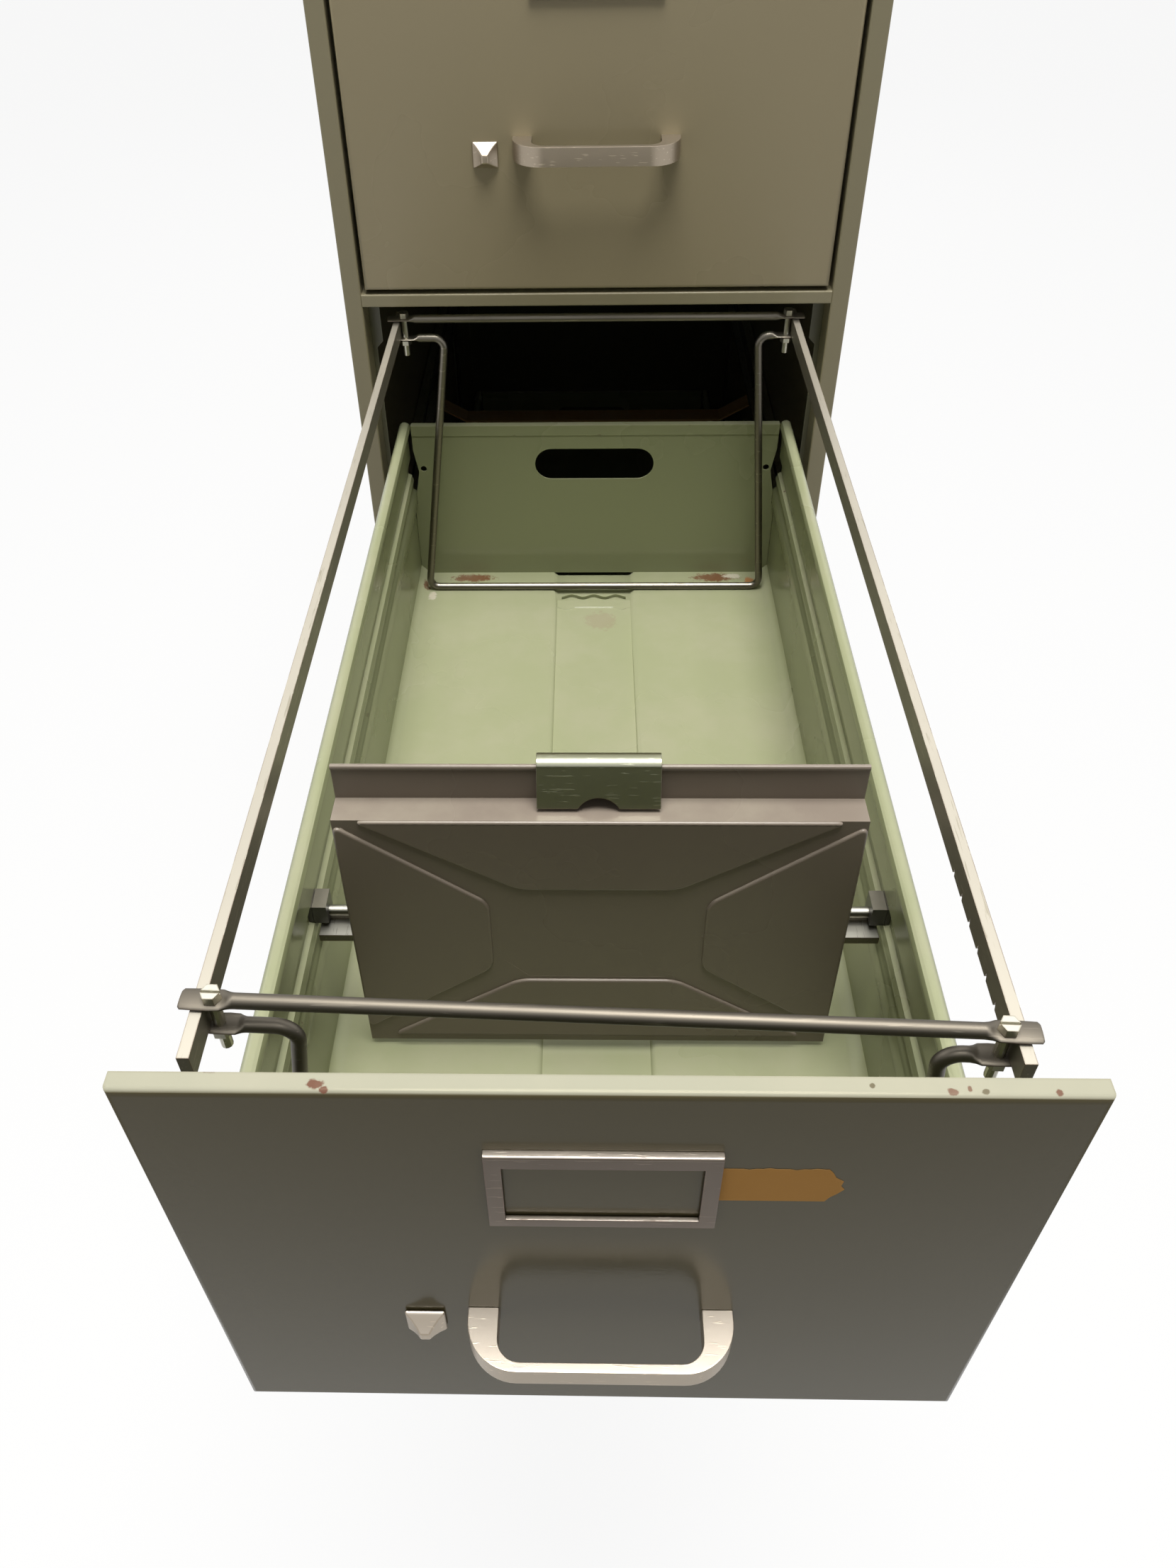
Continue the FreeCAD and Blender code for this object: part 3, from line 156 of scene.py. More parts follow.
def edges_and_wear_group():
    """Masks of every edge, where a rounded normal leaves the true one, which the finishes make lighter as a
    painted highlight, and of worn edges, broken up by noise.
    """
    group = Group(
        "edge_wear",
        (("NodeSocketFloat", "Reach", 0.0015), ("NodeSocketFloat", "Amount", 0.5),
         ("NodeSocketFloat", "Patch Scale", 60.0)),
        (("NodeSocketFloat", "Edge"), ("NodeSocketFloat", "Worn")))
    rounded = group.node("ShaderNodeBevel", samples=4)
    group.join(group.given["Reach"], rounded.inputs["Radius"])
    alike = group.vectors("DOT_PRODUCT", rounded.outputs["Normal"], group.normal())["Value"]
    edge = group.ramp(group.math("SUBTRACT", 1.0, alike), 0.01, 0.12)
    patches = group.noise(group.place(), group.given["Patch Scale"], 6.0, 0.65)
    limit = group.math("SUBTRACT", 1.0, group.given["Amount"])
    worn = group.ramp(patches, limit, group.math("ADD", limit, 0.06))
    group.join(edge, group.result["Edge"])
    group.join(group.math("MULTIPLY", edge, worn), group.result["Worn"])
    return group.tree


def scratches_group():
    """Mask of fine scratches that run mostly one way."""
    group = Group(
        "scratches",
        (("NodeSocketFloat", "Density", 0.5), ("NodeSocketVector", "Stretch", (40, 600, 600))),
        (("NodeSocketFloat", "Mask"),))
    sway = group.node("ShaderNodeTexNoise")
    sway.inputs["Scale"].default_value = 9.0
    sway.inputs["Detail"].default_value = 0.0
    group.join(group.place(), sway.inputs["Vector"])
    small = group.node("ShaderNodeVectorMath", operation="SCALE")
    small.inputs["Scale"].default_value = 0.004
    group.join(sway.outputs["Color"], small.inputs[0])
    bent = group.vectors("ADD", group.place(), small.outputs["Vector"])["Vector"]
    drawn_out = group.vectors("MULTIPLY", bent, group.given["Stretch"])["Vector"]
    lines = group.noise(drawn_out, 1.0, 2.0, 0.6)
    limit = group.math("SUBTRACT", 0.86, group.math("MULTIPLY", group.given["Density"], 0.25))
    group.join(group.ramp(lines, limit, group.math("ADD", limit, 0.05)), group.result["Mask"])
    return group.tree


def dust_and_upward_group():
    """Masks of dust settled on upward faces, of smears everywhere, and of the upward faces, which the
    finishes make lighter as painted light from above.
    """
    group = Group(
        "dust",
        (("NodeSocketFloat", "Amount", 0.3), ("NodeSocketFloat", "Patch Scale", 14.0)),
        (("NodeSocketFloat", "Settled"), ("NodeSocketFloat", "Smear"), ("NodeSocketFloat", "Upward")))
    split = group.node("ShaderNodeSeparateXYZ")
    group.join(group.normal(), split.inputs[0])
    upward = group.ramp(split.outputs["Z"], 0.5, 0.95)
    cloud = group.ramp(group.noise(group.place(), group.given["Patch Scale"], 5.0, 0.6), 0.35, 0.75)
    settled = group.math("MULTIPLY", group.math("MULTIPLY", upward, cloud), group.given["Amount"])
    smear = group.ramp(group.noise(group.place(), 5.0, 4.0, 0.55), 0.4, 0.7)
    group.join(upward, group.result["Upward"])
    group.join(settled, group.result["Settled"])
    group.join(group.math("MULTIPLY", smear, group.given["Amount"]), group.result["Smear"])
    return group.tree


def paint_group():
    """Height of sprayed enamel's orange peel, and slow drifts in its tone."""
    group = Group(
        "sprayed_paint",
        (("NodeSocketFloat", "Peel Scale", 420.0),),
        (("NodeSocketFloat", "Peel"), ("NodeSocketFloat", "Drift")))
    group.join(group.noise(group.place(), group.given["Peel Scale"], 2.0, 0.5), group.result["Peel"])
    group.join(group.noise(group.place(), 2.2, 3.0, 0.5), group.result["Drift"])
    return group.tree


def spot_group():
    """Mask of one small place, ragged at its border."""
    group = Group(
        "spot",
        (("NodeSocketVector", "Centre", (0, 0, 0)), ("NodeSocketVector", "Reach", (0.01, 0.01, 0.01)),
         ("NodeSocketFloat", "Patch Scale", 300.0)),
        (("NodeSocketFloat", "Mask"),))
    away = group.vectors("SUBTRACT", group.place(), group.given["Centre"])["Vector"]
    share = group.vectors("DIVIDE", away, group.given["Reach"])["Vector"]
    distance = group.vectors("LENGTH", share)["Value"]
    ragged = group.noise(group.place(), group.given["Patch Scale"], 4.0, 0.65)
    edge = group.math("ADD", distance, group.math("MULTIPLY", ragged, 1.2))
    group.join(group.ramp(edge, 1.35, 1.05), group.result["Mask"])
    return group.tree


EDGES_AND_WEAR = edges_and_wear_group()
SCRATCHES = scratches_group()
DUST_AND_UPWARD = dust_and_upward_group()
PAINT = paint_group()
SPOT = spot_group()


class Finish(Bench):
    """A material under construction, whose surface is one Principled shader."""

    def __init__(self, name):
        self.material = bpy.data.materials.new(name)
        self.material.use_nodes = True
        super().__init__(self.material.node_tree)
        self.shader = self.tree.nodes["Principled BSDF"]

    def group(self, tree, **values):
        item = self.node("ShaderNodeGroup")
        item.node_tree = tree
        for key, value in values.items():
            item.inputs[key.replace("_", " ")].default_value = value
        return item.outputs

    def set(self, **values):
        for key, value in values.items():
            self.shader.inputs[key.replace("_", " ")].default_value = value

    def drive(self, output, label):
        """Lead an output to one of the shader's sockets."""
        self.join(output, self.shader.inputs[label])

    def mix(self, mask, first, second):
        """Colour that goes from the first to the second as the mask goes from 0 to 1."""
        item = self.node("ShaderNodeMix", data_type="RGBA")
        self.join(mask, item.inputs[0])
        for socket, value in ((item.inputs[6], first), (item.inputs[7], second)):
            if isinstance(value, tuple):
                socket.default_value = value
            else:
                self.join(value, socket)
        return item.outputs[2]

    def touch(self, mask, strength, first, second):
        """The same with the mask made weaker."""
        return self.mix(self.math("MULTIPLY", mask, strength), first, second)

    def blend(self, mask, first, second):
        """Number that goes from the first to the second as the mask goes from 0 to 1."""
        item = self.node("ShaderNodeMapRange")
        self.join(mask, item.inputs["Value"])
        item.inputs["To Min"].default_value = first
        item.inputs["To Max"].default_value = second
        return item.outputs["Result"]

    def bump(self, height, distance, strength):
        item = self.node("ShaderNodeBump")
        item.inputs["Distance"].default_value = distance
        item.inputs["Strength"].default_value = strength
        self.join(height, item.inputs["Height"])
        self.drive(item.outputs["Normal"], "Normal")


DUST_COLOUR = (186, 180, 160)
PEEL_HEIGHT = 0.00006
SCRATCH_DEPTH = 0.00004


def enamel(name, colour, dark, chip=(92, 62, 50), wear=0.35, gloss=0.3, dust=0.3, spots=(), painted_upward_light=None,
           shine=0.5, tint=(1, 1, 1)):
    """Sprayed enamel with orange peel, worn edges, a few scratches, dust and slow drifts of tone, with a
    painted highlight along every edge.

    Upward faces take a lighter colour where one is given, as painted light from above.
    """
    finish = Finish(name)
    paint = finish.group(PAINT)
    worn = finish.group(EDGES_AND_WEAR, Amount=wear)
    lines = finish.group(SCRATCHES, Density=0.35)
    dust_and_upward = finish.group(DUST_AND_UPWARD, Amount=dust)
    tone = finish.mix(paint["Drift"], shade(*colour), shade(*dark))
    # Painted light from above: the upward faces take the lighter colour.
    if painted_upward_light:
        tone = finish.mix(dust_and_upward["Upward"], tone, shade(*painted_upward_light))
    # Painted highlight: every edge is made a little lighter.
    tone = finish.touch(worn["Edge"], 0.25, tone, brighter(colour, 1.3))
    tone = finish.touch(lines["Mask"], 0.25, tone, brighter(colour, 1.2))
    tone = finish.mix(worn["Worn"], tone, shade(*chip))
    for centre, reach, stain in spots:
        mark = finish.group(SPOT, Centre=centre, Reach=reach)
        tone = finish.mix(mark["Mask"], tone, shade(*stain))
    finish.drive(finish.mix(dust_and_upward["Settled"], tone, shade(*DUST_COLOUR)), "Base Color")
    finish.drive(finish.blend(dust_and_upward["Smear"], gloss, gloss + 0.25), "Roughness")
    finish.set(Specular_IOR_Level=shine, Specular_Tint=(*tint, 1))
    finish.bump(paint["Peel"], PEEL_HEIGHT, 0.6)
    return finish.material


def bare_metal(name, colour, dark, rough, stretch, rust=None, metallic=1.0, painted_top_light=None, streaks=0.6):
    """Drawn or plated metal with scratches along one way and dull patches, its top painted lighter as painted
    light from above and a painted highlight along its edges.
    """
    finish = Finish(name)
    worn = finish.group(EDGES_AND_WEAR, Amount=0.6, Reach=0.0008)
    lines = finish.group(SCRATCHES, Density=0.9, Stretch=stretch)
    dust_and_upward = finish.group(DUST_AND_UPWARD, Amount=0.6, Patch_Scale=30.0)
    tone = finish.mix(dust_and_upward["Smear"], shade(*colour), shade(*dark))
    # Painted light from above: the upward faces take the lighter colour.
    if painted_top_light:
        tone = finish.mix(dust_and_upward["Upward"], tone, shade(*painted_top_light))
    tone = finish.touch(lines["Mask"], streaks, tone, brighter(colour, 1.25))
    # Painted highlight: every edge is made lighter.
    tone = finish.touch(worn["Edge"], 0.5, tone, brighter(colour, 1.35))
    if rust:
        tone = finish.touch(worn["Worn"], 0.8, tone, shade(*rust))
    finish.drive(tone, "Base Color")
    finish.drive(finish.blend(dust_and_upward["Smear"], rough, rough + 0.2), "Roughness")
    finish.set(Metallic=metallic)
    finish.bump(lines["Mask"], SCRATCH_DEPTH, 0.5)
    return finish.material


def at_drawer(across, back, up):
    """A place in the open drawer, in millimetres from its front's lower edge, as the scene's metres."""
    low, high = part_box(OPEN_BODY + "_front")
    return (across * MM, low[1] + back * MM, low[2] + up * MM)


# Chips and stains: where, how far they reach in metres, and their colour

RUST = (120, 84, 56)
CHIP = (110, 74, 60)
DARK_NICK = (92, 84, 62)
PALE_DIRT = (206, 200, 180)
FRONT_CHIPS = (
    (at_drawer(-100, 4, 277), (0.005, 0.003, 0.003), CHIP),
    (at_drawer(-97, 2, 277), (0.003, 0.002, 0.003), CHIP),
    (at_drawer(92, 5, 277), (0.0016, 0.0016, 0.003), DARK_NICK),
    (at_drawer(119, 3, 277), (0.0028, 0.002, 0.003), CHIP),
    (at_drawer(125, 4, 277), (0.0014, 0.002, 0.003), CHIP),
    (at_drawer(130, 3, 277), (0.002, 0.0016, 0.003), DARK_NICK),
    (at_drawer(155, 3, 277), (0.002, 0.002, 0.003), CHIP))
TRAY_STAINS = (
    (at_drawer(-112, 704, 13.5), (0.03, 0.009, 0.004), RUST),
    (at_drawer(112, 704, 13.5), (0.032, 0.010, 0.004), RUST),
    (at_drawer(128, 706, 13.5), (0.012, 0.006, 0.004), PALE_DIRT),
    (at_drawer(143, 698, 13.5), (0.007, 0.010, 0.005), (176, 122, 70)),
    (at_drawer(-152, 690, 18), (0.006, 0.014, 0.008), RUST),
    (at_drawer(-147, 676, 14), (0.006, 0.010, 0.005), PALE_DIRT),
    (at_drawer(6, 642, 9.5), (0.022, 0.02, 0.003), (161, 157, 127)),
    (at_drawer(160, 420, 121), (0.004, 0.02, 0.005), RUST))

# How fine the scratches are along X, Y and Z: the least figure is the way that they run

DRAWN_ACROSS = (24, 520, 520)
DRAWN_BACK = (900, 40, 900)
BRUSHED_ACROSS = (80, 900, 900)
TUMBLED = (300, 300, 300)
ROD_RUST = (84, 60, 44)

# In the finishes below, the lighter colour given for upward faces is painted light from above.
tray_enamel = enamel(
    "tray_enamel", (138, 142, 108), (128, 132, 98), gloss=0.24, spots=TRAY_STAINS, painted_upward_light=(164, 168, 133),
    shine=0.4)
case_enamel = enamel("case_enamel", (132, 125, 100), (124, 117, 93), gloss=0.3, dust=0.12, shine=0.35)
front_enamel = enamel("front_enamel", (142, 132, 106), (134, 124, 98), gloss=0.26, shine=0.35)
# Painted shade: the open drawer's front is a darker, duller copy of the other fronts' enamel, with its
# lighter top as painted light.
shaded_open_enamel = enamel(
    "open_front_enamel", (84, 77, 54), (75, 69, 47), gloss=0.15, spots=FRONT_CHIPS, painted_upward_light=(166, 165, 147),
    shine=0.13, tint=(1, 0.9, 0.66))
follower_enamel = enamel(
    "follower_enamel", (116, 106, 94), (106, 97, 86), chip=(150, 138, 128), gloss=0.26, shine=0.35,
    painted_upward_light=(136, 125, 114))
# Painted shade: the parts inside the case take a darker copy of the case enamel.
shaded_inner_enamel = enamel("inner_enamel", (96, 94, 72), (84, 82, 62), wear=0.3)
rod_steel = bare_metal(
    "rod_steel", (98, 93, 84), (62, 58, 50), 0.46, DRAWN_ACROSS, ROD_RUST, painted_top_light=(112, 106, 96),
    streaks=0.9)
# Painted highlight: a lighter, shinier copy of the rod steel with a much lighter top, for the hanging frame's
# rear pieces.
rubbed_steel = bare_metal(
    "rubbed_steel", (112, 107, 97), (66, 62, 54), 0.36, DRAWN_ACROSS, ROD_RUST, painted_top_light=(182, 176, 162),
    streaks=0.9)
rail_steel = bare_metal(
    "rail_steel", (122, 117, 101), (100, 95, 81), 0.4, DRAWN_BACK, (104, 78, 60), metallic=0.6,
    painted_top_light=(190, 184, 170))
slide_steel = bare_metal(
    "slide_steel", (108, 104, 94), (90, 86, 78), 0.35, DRAWN_BACK, (96, 66, 48), painted_top_light=(206, 204, 192))
satin_metal = bare_metal(
    "satin_metal", (164, 152, 135), (150, 139, 124), 0.34, BRUSHED_ACROSS, painted_top_light=(202, 192, 179))
label_metal = bare_metal(
    "label_metal", (88, 78, 68), (78, 69, 60), 0.28, BRUSHED_ACROSS, (96, 70, 56), painted_top_light=(214, 204, 192))
zinc_steel = bare_metal(
    "zinc_steel", (168, 168, 150), (132, 132, 114), 0.28, BRUSHED_ACROSS, (110, 90, 60),
    painted_top_light=(196, 198, 170))
screw_zinc = bare_metal(
    "screw_zinc", (170, 168, 154), (140, 138, 124), 0.3, TUMBLED, (110, 90, 60),
    painted_top_light=(220, 218, 204))
brace_steel = enamel("brace_steel", (196, 158, 104), (170, 130, 82), chip=(120, 80, 44), gloss=0.4)
red_primer = enamel("red_primer", (104, 66, 48), (84, 54, 40), chip=(70, 60, 54), gloss=0.55)
black_plastic = enamel(
    "black_plastic", (54, 52, 46), (44, 43, 38), chip=(70, 68, 62), wear=0.2, gloss=0.4, painted_upward_light=(104, 100, 90))
old_tape = enamel(
    "old_tape", (178, 132, 68), (160, 116, 58), chip=(176, 136, 78), wear=0.5, gloss=0.7, shine=0.1)

FINISH_OF_SLOT = {
    "case_enamel": case_enamel, "red_primer": red_primer, "slide_steel": slide_steel,
    "satin_metal": satin_metal, "label_metal": label_metal, "rod_steel": rod_steel,
    "follower_enamel": follower_enamel, "zinc_steel": zinc_steel, "black_plastic": black_plastic}


def wear_finish(node, material):
    """Put one material on a carried-over node."""
    mesh = nodes[node].data
    mesh.materials.clear()
    mesh.materials.append(material)


for row in frame["record"]["subparts"]:
    wear_finish(row["node"], FINISH_OF_SLOT[row["material_slot"]])
for number in DRAWERS:
    wear_finish("drawer_%d_front" % number, front_enamel)
    for part in ("tray", "back"):
        wear_finish("drawer_%d_%s" % (number, part), tray_enamel)
for name in ("back_panel", "front_post_right", "front_post_left", "rear_posts", "base_channel"):
    wear_finish(name, shaded_inner_enamel)
for name in ("hanging_rail_right", "hanging_rail_left"):
    wear_finish(name, rail_steel)
wear_finish(OPEN_BODY + "_front", shaded_open_enamel)
for name in ("screws_front", "screws_rear"):
    wear_finish(name, screw_zinc)
wear_finish("cross_braces", brace_steel)


# Modelling by hand

SAME_POINT = 0.001 * MM
ALONG_X = (0, math.pi / 2, 0)
ALONG_Y = (math.pi / 2, 0, 0)


def stop_editing():
    """Leave edit mode with nothing selected."""
    active = bpy.context.view_layer.objects.active
    if active is not None and active.mode != "OBJECT":
        bpy.ops.object.mode_set(mode="OBJECT")
    bpy.ops.object.select_all(action="DESELECT")


def take(piece):
    """Make one piece the only selected and active one."""
    stop_editing()
    piece.select_set(True)
    bpy.context.view_layer.objects.active = piece


def settle(piece):
    """Put the piece's place into its mesh."""
    take(piece)
    bpy.ops.object.transform_apply(location=True, rotation=True, scale=True)


def block(name, low, high):
    """A box between two corners in millimetres, ready to be shaped."""
    stop_editing()
    middle = [(a + b) / 2 * MM for a, b in zip(low, high)]
    bpy.ops.mesh.primitive_cube_add(size=1, location=middle)
    piece = bpy.context.active_object
    piece.name = name
    piece.scale = [(b - a) * MM for a, b in zip(low, high)]
    settle(piece)
    return piece


def round_bar(sides, radius, length, place, turn):
    """A cylinder with its sizes and middle in millimetres, along X or Y."""
    stop_editing()
    bpy.ops.mesh.primitive_cylinder_add(
        vertices=sides, radius=radius * MM, depth=length * MM, location=[v * MM for v in place],
        rotation=turn)
    return bpy.context.active_object


def pick(piece, kind, test):
    """In edit mode, select the faces, edges or points that pass a test.

    The test is given the middle in millimetres, and the way that a face or point looks or an edge runs.
    """
    take(piece)
    bpy.ops.object.mode_set(mode="EDIT")
    bpy.ops.mesh.select_mode(type=kind)
    bpy.ops.mesh.select_all(action="DESELECT")
    mesh = bmesh.from_edit_mesh(piece.data)
    for item in {"VERT": mesh.verts, "EDGE": mesh.edges, "FACE": mesh.faces}[kind]:
        if kind == "VERT":
            place, way = item.co, item.normal
        elif kind == "EDGE":
            start, end = (point.co for point in item.verts)
            place, way = (start + end) / 2, (end - start).normalized()
        else:
            place, way = item.calc_center_median(), item.normal
        if test(place / MM, way):
            item.select_set(True)
    mesh.select_flush_mode()
    bmesh.update_edit_mesh(piece.data)


def edit_all(piece):
    """Open a piece in edit mode with all of it selected."""
    take(piece)
    bpy.ops.object.mode_set(mode="EDIT")
    bpy.ops.mesh.select_all(action="SELECT")


def draw_on(across, back, up):
    """Extrude the selected face by a vector in millimetres."""
    value = (across * MM, back * MM, up * MM)
    bpy.ops.mesh.extrude_region_move(TRANSFORM_OT_translate={"value": value})


def apply_modifier(piece, kind, **settings):
    take(piece)
    modifier = piece.modifiers.new(kind.lower(), kind)
    for key, value in settings.items():
        setattr(modifier, key, value)
    bpy.ops.object.modifier_apply(modifier=modifier.name)


def carve(piece, cutter):
    """Take the cutter's volume out of the piece."""
    apply_modifier(piece, "BOOLEAN", operation="DIFFERENCE", object=cutter, solver="EXACT")
    bpy.data.objects.remove(cutter)


def unite(piece, other):
    """Add the other piece's volume to the piece."""
    apply_modifier(piece, "BOOLEAN", operation="UNION", object=other, solver="EXACT")
    bpy.data.objects.remove(other)


def join_on(piece, other):
    """Make the other piece a part of this one, with both surfaces left whole."""
    take(piece)
    other.select_set(True)
    bpy.ops.object.join()
    settle(piece)


def soften(piece, width, segments, angle):
    """Round the edges that are sharper than an angle."""
    apply_modifier(
        piece, "BEVEL", width=width * MM, segments=segments, limit_method="ANGLE",
        angle_limit=math.radians(angle), harden_normals=False)


def smooth(piece, angle):
    """Shade smoothly up to an angle, with the broad faces kept flat."""
    take(piece)
    bpy.ops.object.shade_smooth_by_angle(angle=math.radians(angle))
    apply_modifier(piece, "WEIGHTED_NORMAL", keep_sharp=True, weight=80)


def close_up(piece):
    """Merge doubles and point every face outwards."""
    edit_all(piece)
    bpy.ops.mesh.remove_doubles(threshold=SAME_POINT)
    bpy.ops.mesh.normals_make_consistent(inside=False)
    stop_editing()


def finish_piece(piece, material, body, slot, *replaced):
    """Give a piece its finish and its body, and hide the nodes that it stands for."""
    stop_editing()
    piece.data.materials.clear()
    piece.data.materials.append(material)
    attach(piece, body)
    if replaced:
        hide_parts(*replaced)


def copy_of(piece, name, shift):
    """The same piece again with its own mesh, moved by a vector in metres."""
    again = bpy.data.objects.new(name, piece.data.copy())
    bpy.context.scene.collection.objects.link(again)
    again.location = shift
    settle(again)
    return again


def drawer_shift(number):
    """From the drawing of a drawer, front face at Y 0 and lower edge at Z 0, to its place."""
    low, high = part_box("drawer_%d_front" % number)
    return Vector((0, low[1], low[2]))


# Softened copies of the folded sheets, so that their rolls and bends shade smoothly

SHEET_SMOOTH = 33
FLAT_WITHIN = 0.5


def merged_copy(node, name):
    """A copy of a node with one point per corner and one face per flat."""
    piece = bpy.data.objects.new(name, nodes[node].data.copy())
    bpy.context.scene.collection.objects.link(piece)
    edit_all(piece)
    bpy.ops.mesh.remove_doubles(threshold=10 * SAME_POINT)
    bpy.ops.mesh.dissolve_limited(angle_limit=math.radians(FLAT_WITHIN))
    stop_editing()
    return piece


def soften_sheet(node, body, slot, material):
    piece = merged_copy(node, "soft_" + node)
    smooth(piece, SHEET_SMOOTH)
    finish_piece(piece, material, body, slot, node)


# Sizes from here on are in millimetres. A drawer's fittings are drawn with its front face at Y 0 and its
# lower edge at Z 0, and the follower's upright with its carrying bar at Y 0 and Z 0.

# Handle: a flat bar with two thick feet, drawn round by two bevels

HANDLE_HALF = 58
HANDLE_REACH = 27
HANDLE_LOW = 93
HANDLE_HIGH = 106
HANDLE_BEND = 22
GRIP_HALF = 44.5
GRIP_REACH = 22.8
GRIP_BEND = 10


def handle_piece():
    piece = block("pull", (-HANDLE_HALF, -HANDLE_REACH, HANDLE_LOW), (HANDLE_HALF, 0, HANDLE_HIGH))
    space = block("pull_space", (-GRIP_HALF, -GRIP_REACH, HANDLE_LOW - 5), (GRIP_HALF, 5, HANDLE_HIGH + 5))
    bends = ((piece, HANDLE_REACH, HANDLE_BEND, 12), (space, GRIP_REACH, GRIP_BEND, 10))
    for shape, reach, bend, steps in bends:
        pick(shape, "EDGE", lambda place, way: abs(way.z) > 0.9 and place.y < 1 - reach)
        bpy.ops.mesh.bevel(offset=bend * MM, segments=steps, affect="EDGES")
    carve(piece, space)
    soften(piece, 0.45, 2, 40)
    smooth(piece, 35)
    return piece


# Thumb latch: a four-sided nose that draws in to a blunt ridge

LATCH_HALF = 8.85
LATCH_HALF_HIGH = 8.5

# Each draw: how far it reaches, the share of the width that it keeps, and how far it drops
LATCH_DRAWS = ((2.0, 0.7, 0.3), (2.4, 0.6, 0.5), (2.2, 0.55, 0.4))


def latch_piece():
    piece = block("thumb_latch", (-LATCH_HALF, -1.8, -LATCH_HALF_HIGH), (LATCH_HALF, -0.3, LATCH_HALF_HIGH))
    for reach, narrower, drop in LATCH_DRAWS:
        pick(piece, "FACE", lambda place, way: way.y < -0.9)
        draw_on(0, -reach, -drop)
        bpy.ops.transform.resize(value=(narrower, 1, narrower + 0.06))
    stop_editing()
    soften(piece, 0.7, 3, 20)
    smooth(piece, 50)
    return piece


# Label frame: a pressed sheet with a window, folded sides and a rolled upper lip

LABEL_HALF = 44
LABEL_LOW = 187
LABEL_HIGH = 241
LABEL_REACH = 2.6
LABEL_SHEET = 0.8
WINDOW_HALF = 37.5
WINDOW_LOW = LABEL_LOW + 5.5
WINDOW_HIGH = LABEL_HIGH - 9.5
WINDOW_DEPTH = 2.0
LABEL_LIP = 1.0


def label_piece():
    piece = block("label_frame", (-LABEL_HALF, -LABEL_REACH, LABEL_LOW), (LABEL_HALF, 0, LABEL_HIGH))
    pick(piece, "FACE", lambda place, way: way.y > 0.9)
    bpy.ops.mesh.delete(type="FACE")
    cuts = (
        ((-WINDOW_HALF, 0, 0), (1, 0, 0)), ((WINDOW_HALF, 0, 0), (1, 0, 0)),
        ((0, 0, WINDOW_LOW), (0, 0, 1)), ((0, 0, WINDOW_HIGH), (0, 0, 1)))
    for point, normal in cuts:
        bpy.ops.mesh.select_all(action="SELECT")
        bpy.ops.mesh.bisect(plane_co=[v * MM for v in point], plane_no=normal)

    def window(place, way):
        return way.y < -0.9 and abs(place.x) < WINDOW_HALF and WINDOW_LOW < place.z < WINDOW_HIGH

    pick(piece, "FACE", window)
    draw_on(0, WINDOW_DEPTH, 0)
    bpy.ops.mesh.delete(type="FACE")
    close_up(piece)
    apply_modifier(piece, "SOLIDIFY", thickness=LABEL_SHEET * MM, offset=-1)
    soften(piece, 0.3, 2, 40)
    lip_place = (0, 0.2 - LABEL_REACH, LABEL_HIGH - LABEL_LIP)
    lip = round_bar(20, LABEL_LIP, 2 * LABEL_HALF, lip_place, ALONG_X)
    soften(lip, 0.5, 3, 40)
    join_on(piece, lip)
    smooth(piece, 40)
    return piece


# Round steel rods: a disc drawn along its line, bent by spins, hammered flat at both ends

ROD_RADIUS = 3.175
BEND_STEPS = 8
CROSS_BAR_HALF = 140
CROSS_BAR_LEVEL = 265.75
CROSS_BAR_TONGUE = 21
WIRE_TAB_HALF = 138
WIRE_TAB_LEVEL = 250.55
WIRE_TAB_TONGUE = 15.5
WIRE_RIGHT_BEND = 127
WIRE_LEFT_BEND = -118
WIRE_FOOT_HALF = 150
WIRE_FOOT_LEVEL = 16.725
WIRE_BEND = 8
ENDS_ABOVE = 245

# Each stroke: share of the tongue, how far it lifts, and how wide and thick it leaves the end
STROKES = (
    (0.12, 0, 1.25, 0.62), (0.12, 0, 1.26, 0.62), (0.26, 0.15, 1.03, 0.94),
    (0.26, -0.15, 0.98, 1.04), (0.20, 0, 0.97, 1.0), (0.04, 0, 0.8, 0.7))


def disc(name, place):
    """The first end of a rod that is to be drawn along X, open in edit mode."""
    stop_editing()
    bpy.ops.mesh.primitive_circle_add(
        vertices=20, radius=ROD_RADIUS * MM, fill_type="NGON", location=[v * MM for v in place],
        rotation=ALONG_X)
    piece = bpy.context.active_object
    piece.name = name
    settle(piece)
    pick(piece, "FACE", lambda place, way: True)
    return piece


def bend_to(centre, angle):
    """Turn the end face about a line along Y through a point, drawing the bend behind it.

    Spin turns the other way than the angle's sign says.
    """
    bpy.ops.mesh.spin(
        steps=BEND_STEPS, angle=-angle, center=[v * MM for v in centre], axis=(0, 1, 0), dupli=False)


def hammer_flat(side, length):
    """Flatten the end face to a tongue of a length in millimetres, uneven and blunt as hammered."""
    for share, lift, wide, thick in STROKES:
        draw_on(side * share * length, 0, lift)
        bpy.ops.transform.resize(value=(1, wide, thick))


def wire(name, points, radius=0):
    """A rod through points across and up, with every inner corner bent to one radius."""
    path = [Vector((across, 0, up)) for across, up in points]
    heading = (path[1] - path[0]).normalized()
    piece = disc(name, path[0])
    here = path[0]
    for corner, after in zip(path[1:], path[2:]):
        way = (after - corner).normalized()
        angle = heading.angle(way)
        turn = 1 if heading.cross(way).y > 0 else -1
        trim = radius * math.tan(angle / 2)
        start = corner - heading * trim
        draw_on(*(start - here))
        centre = start + Vector((heading.z, 0, -heading.x)) * turn * radius
        bend_to(centre, turn * angle)
        here = corner + way * trim
        heading = way
    draw_on(*(path[-1] - here))
    return piece


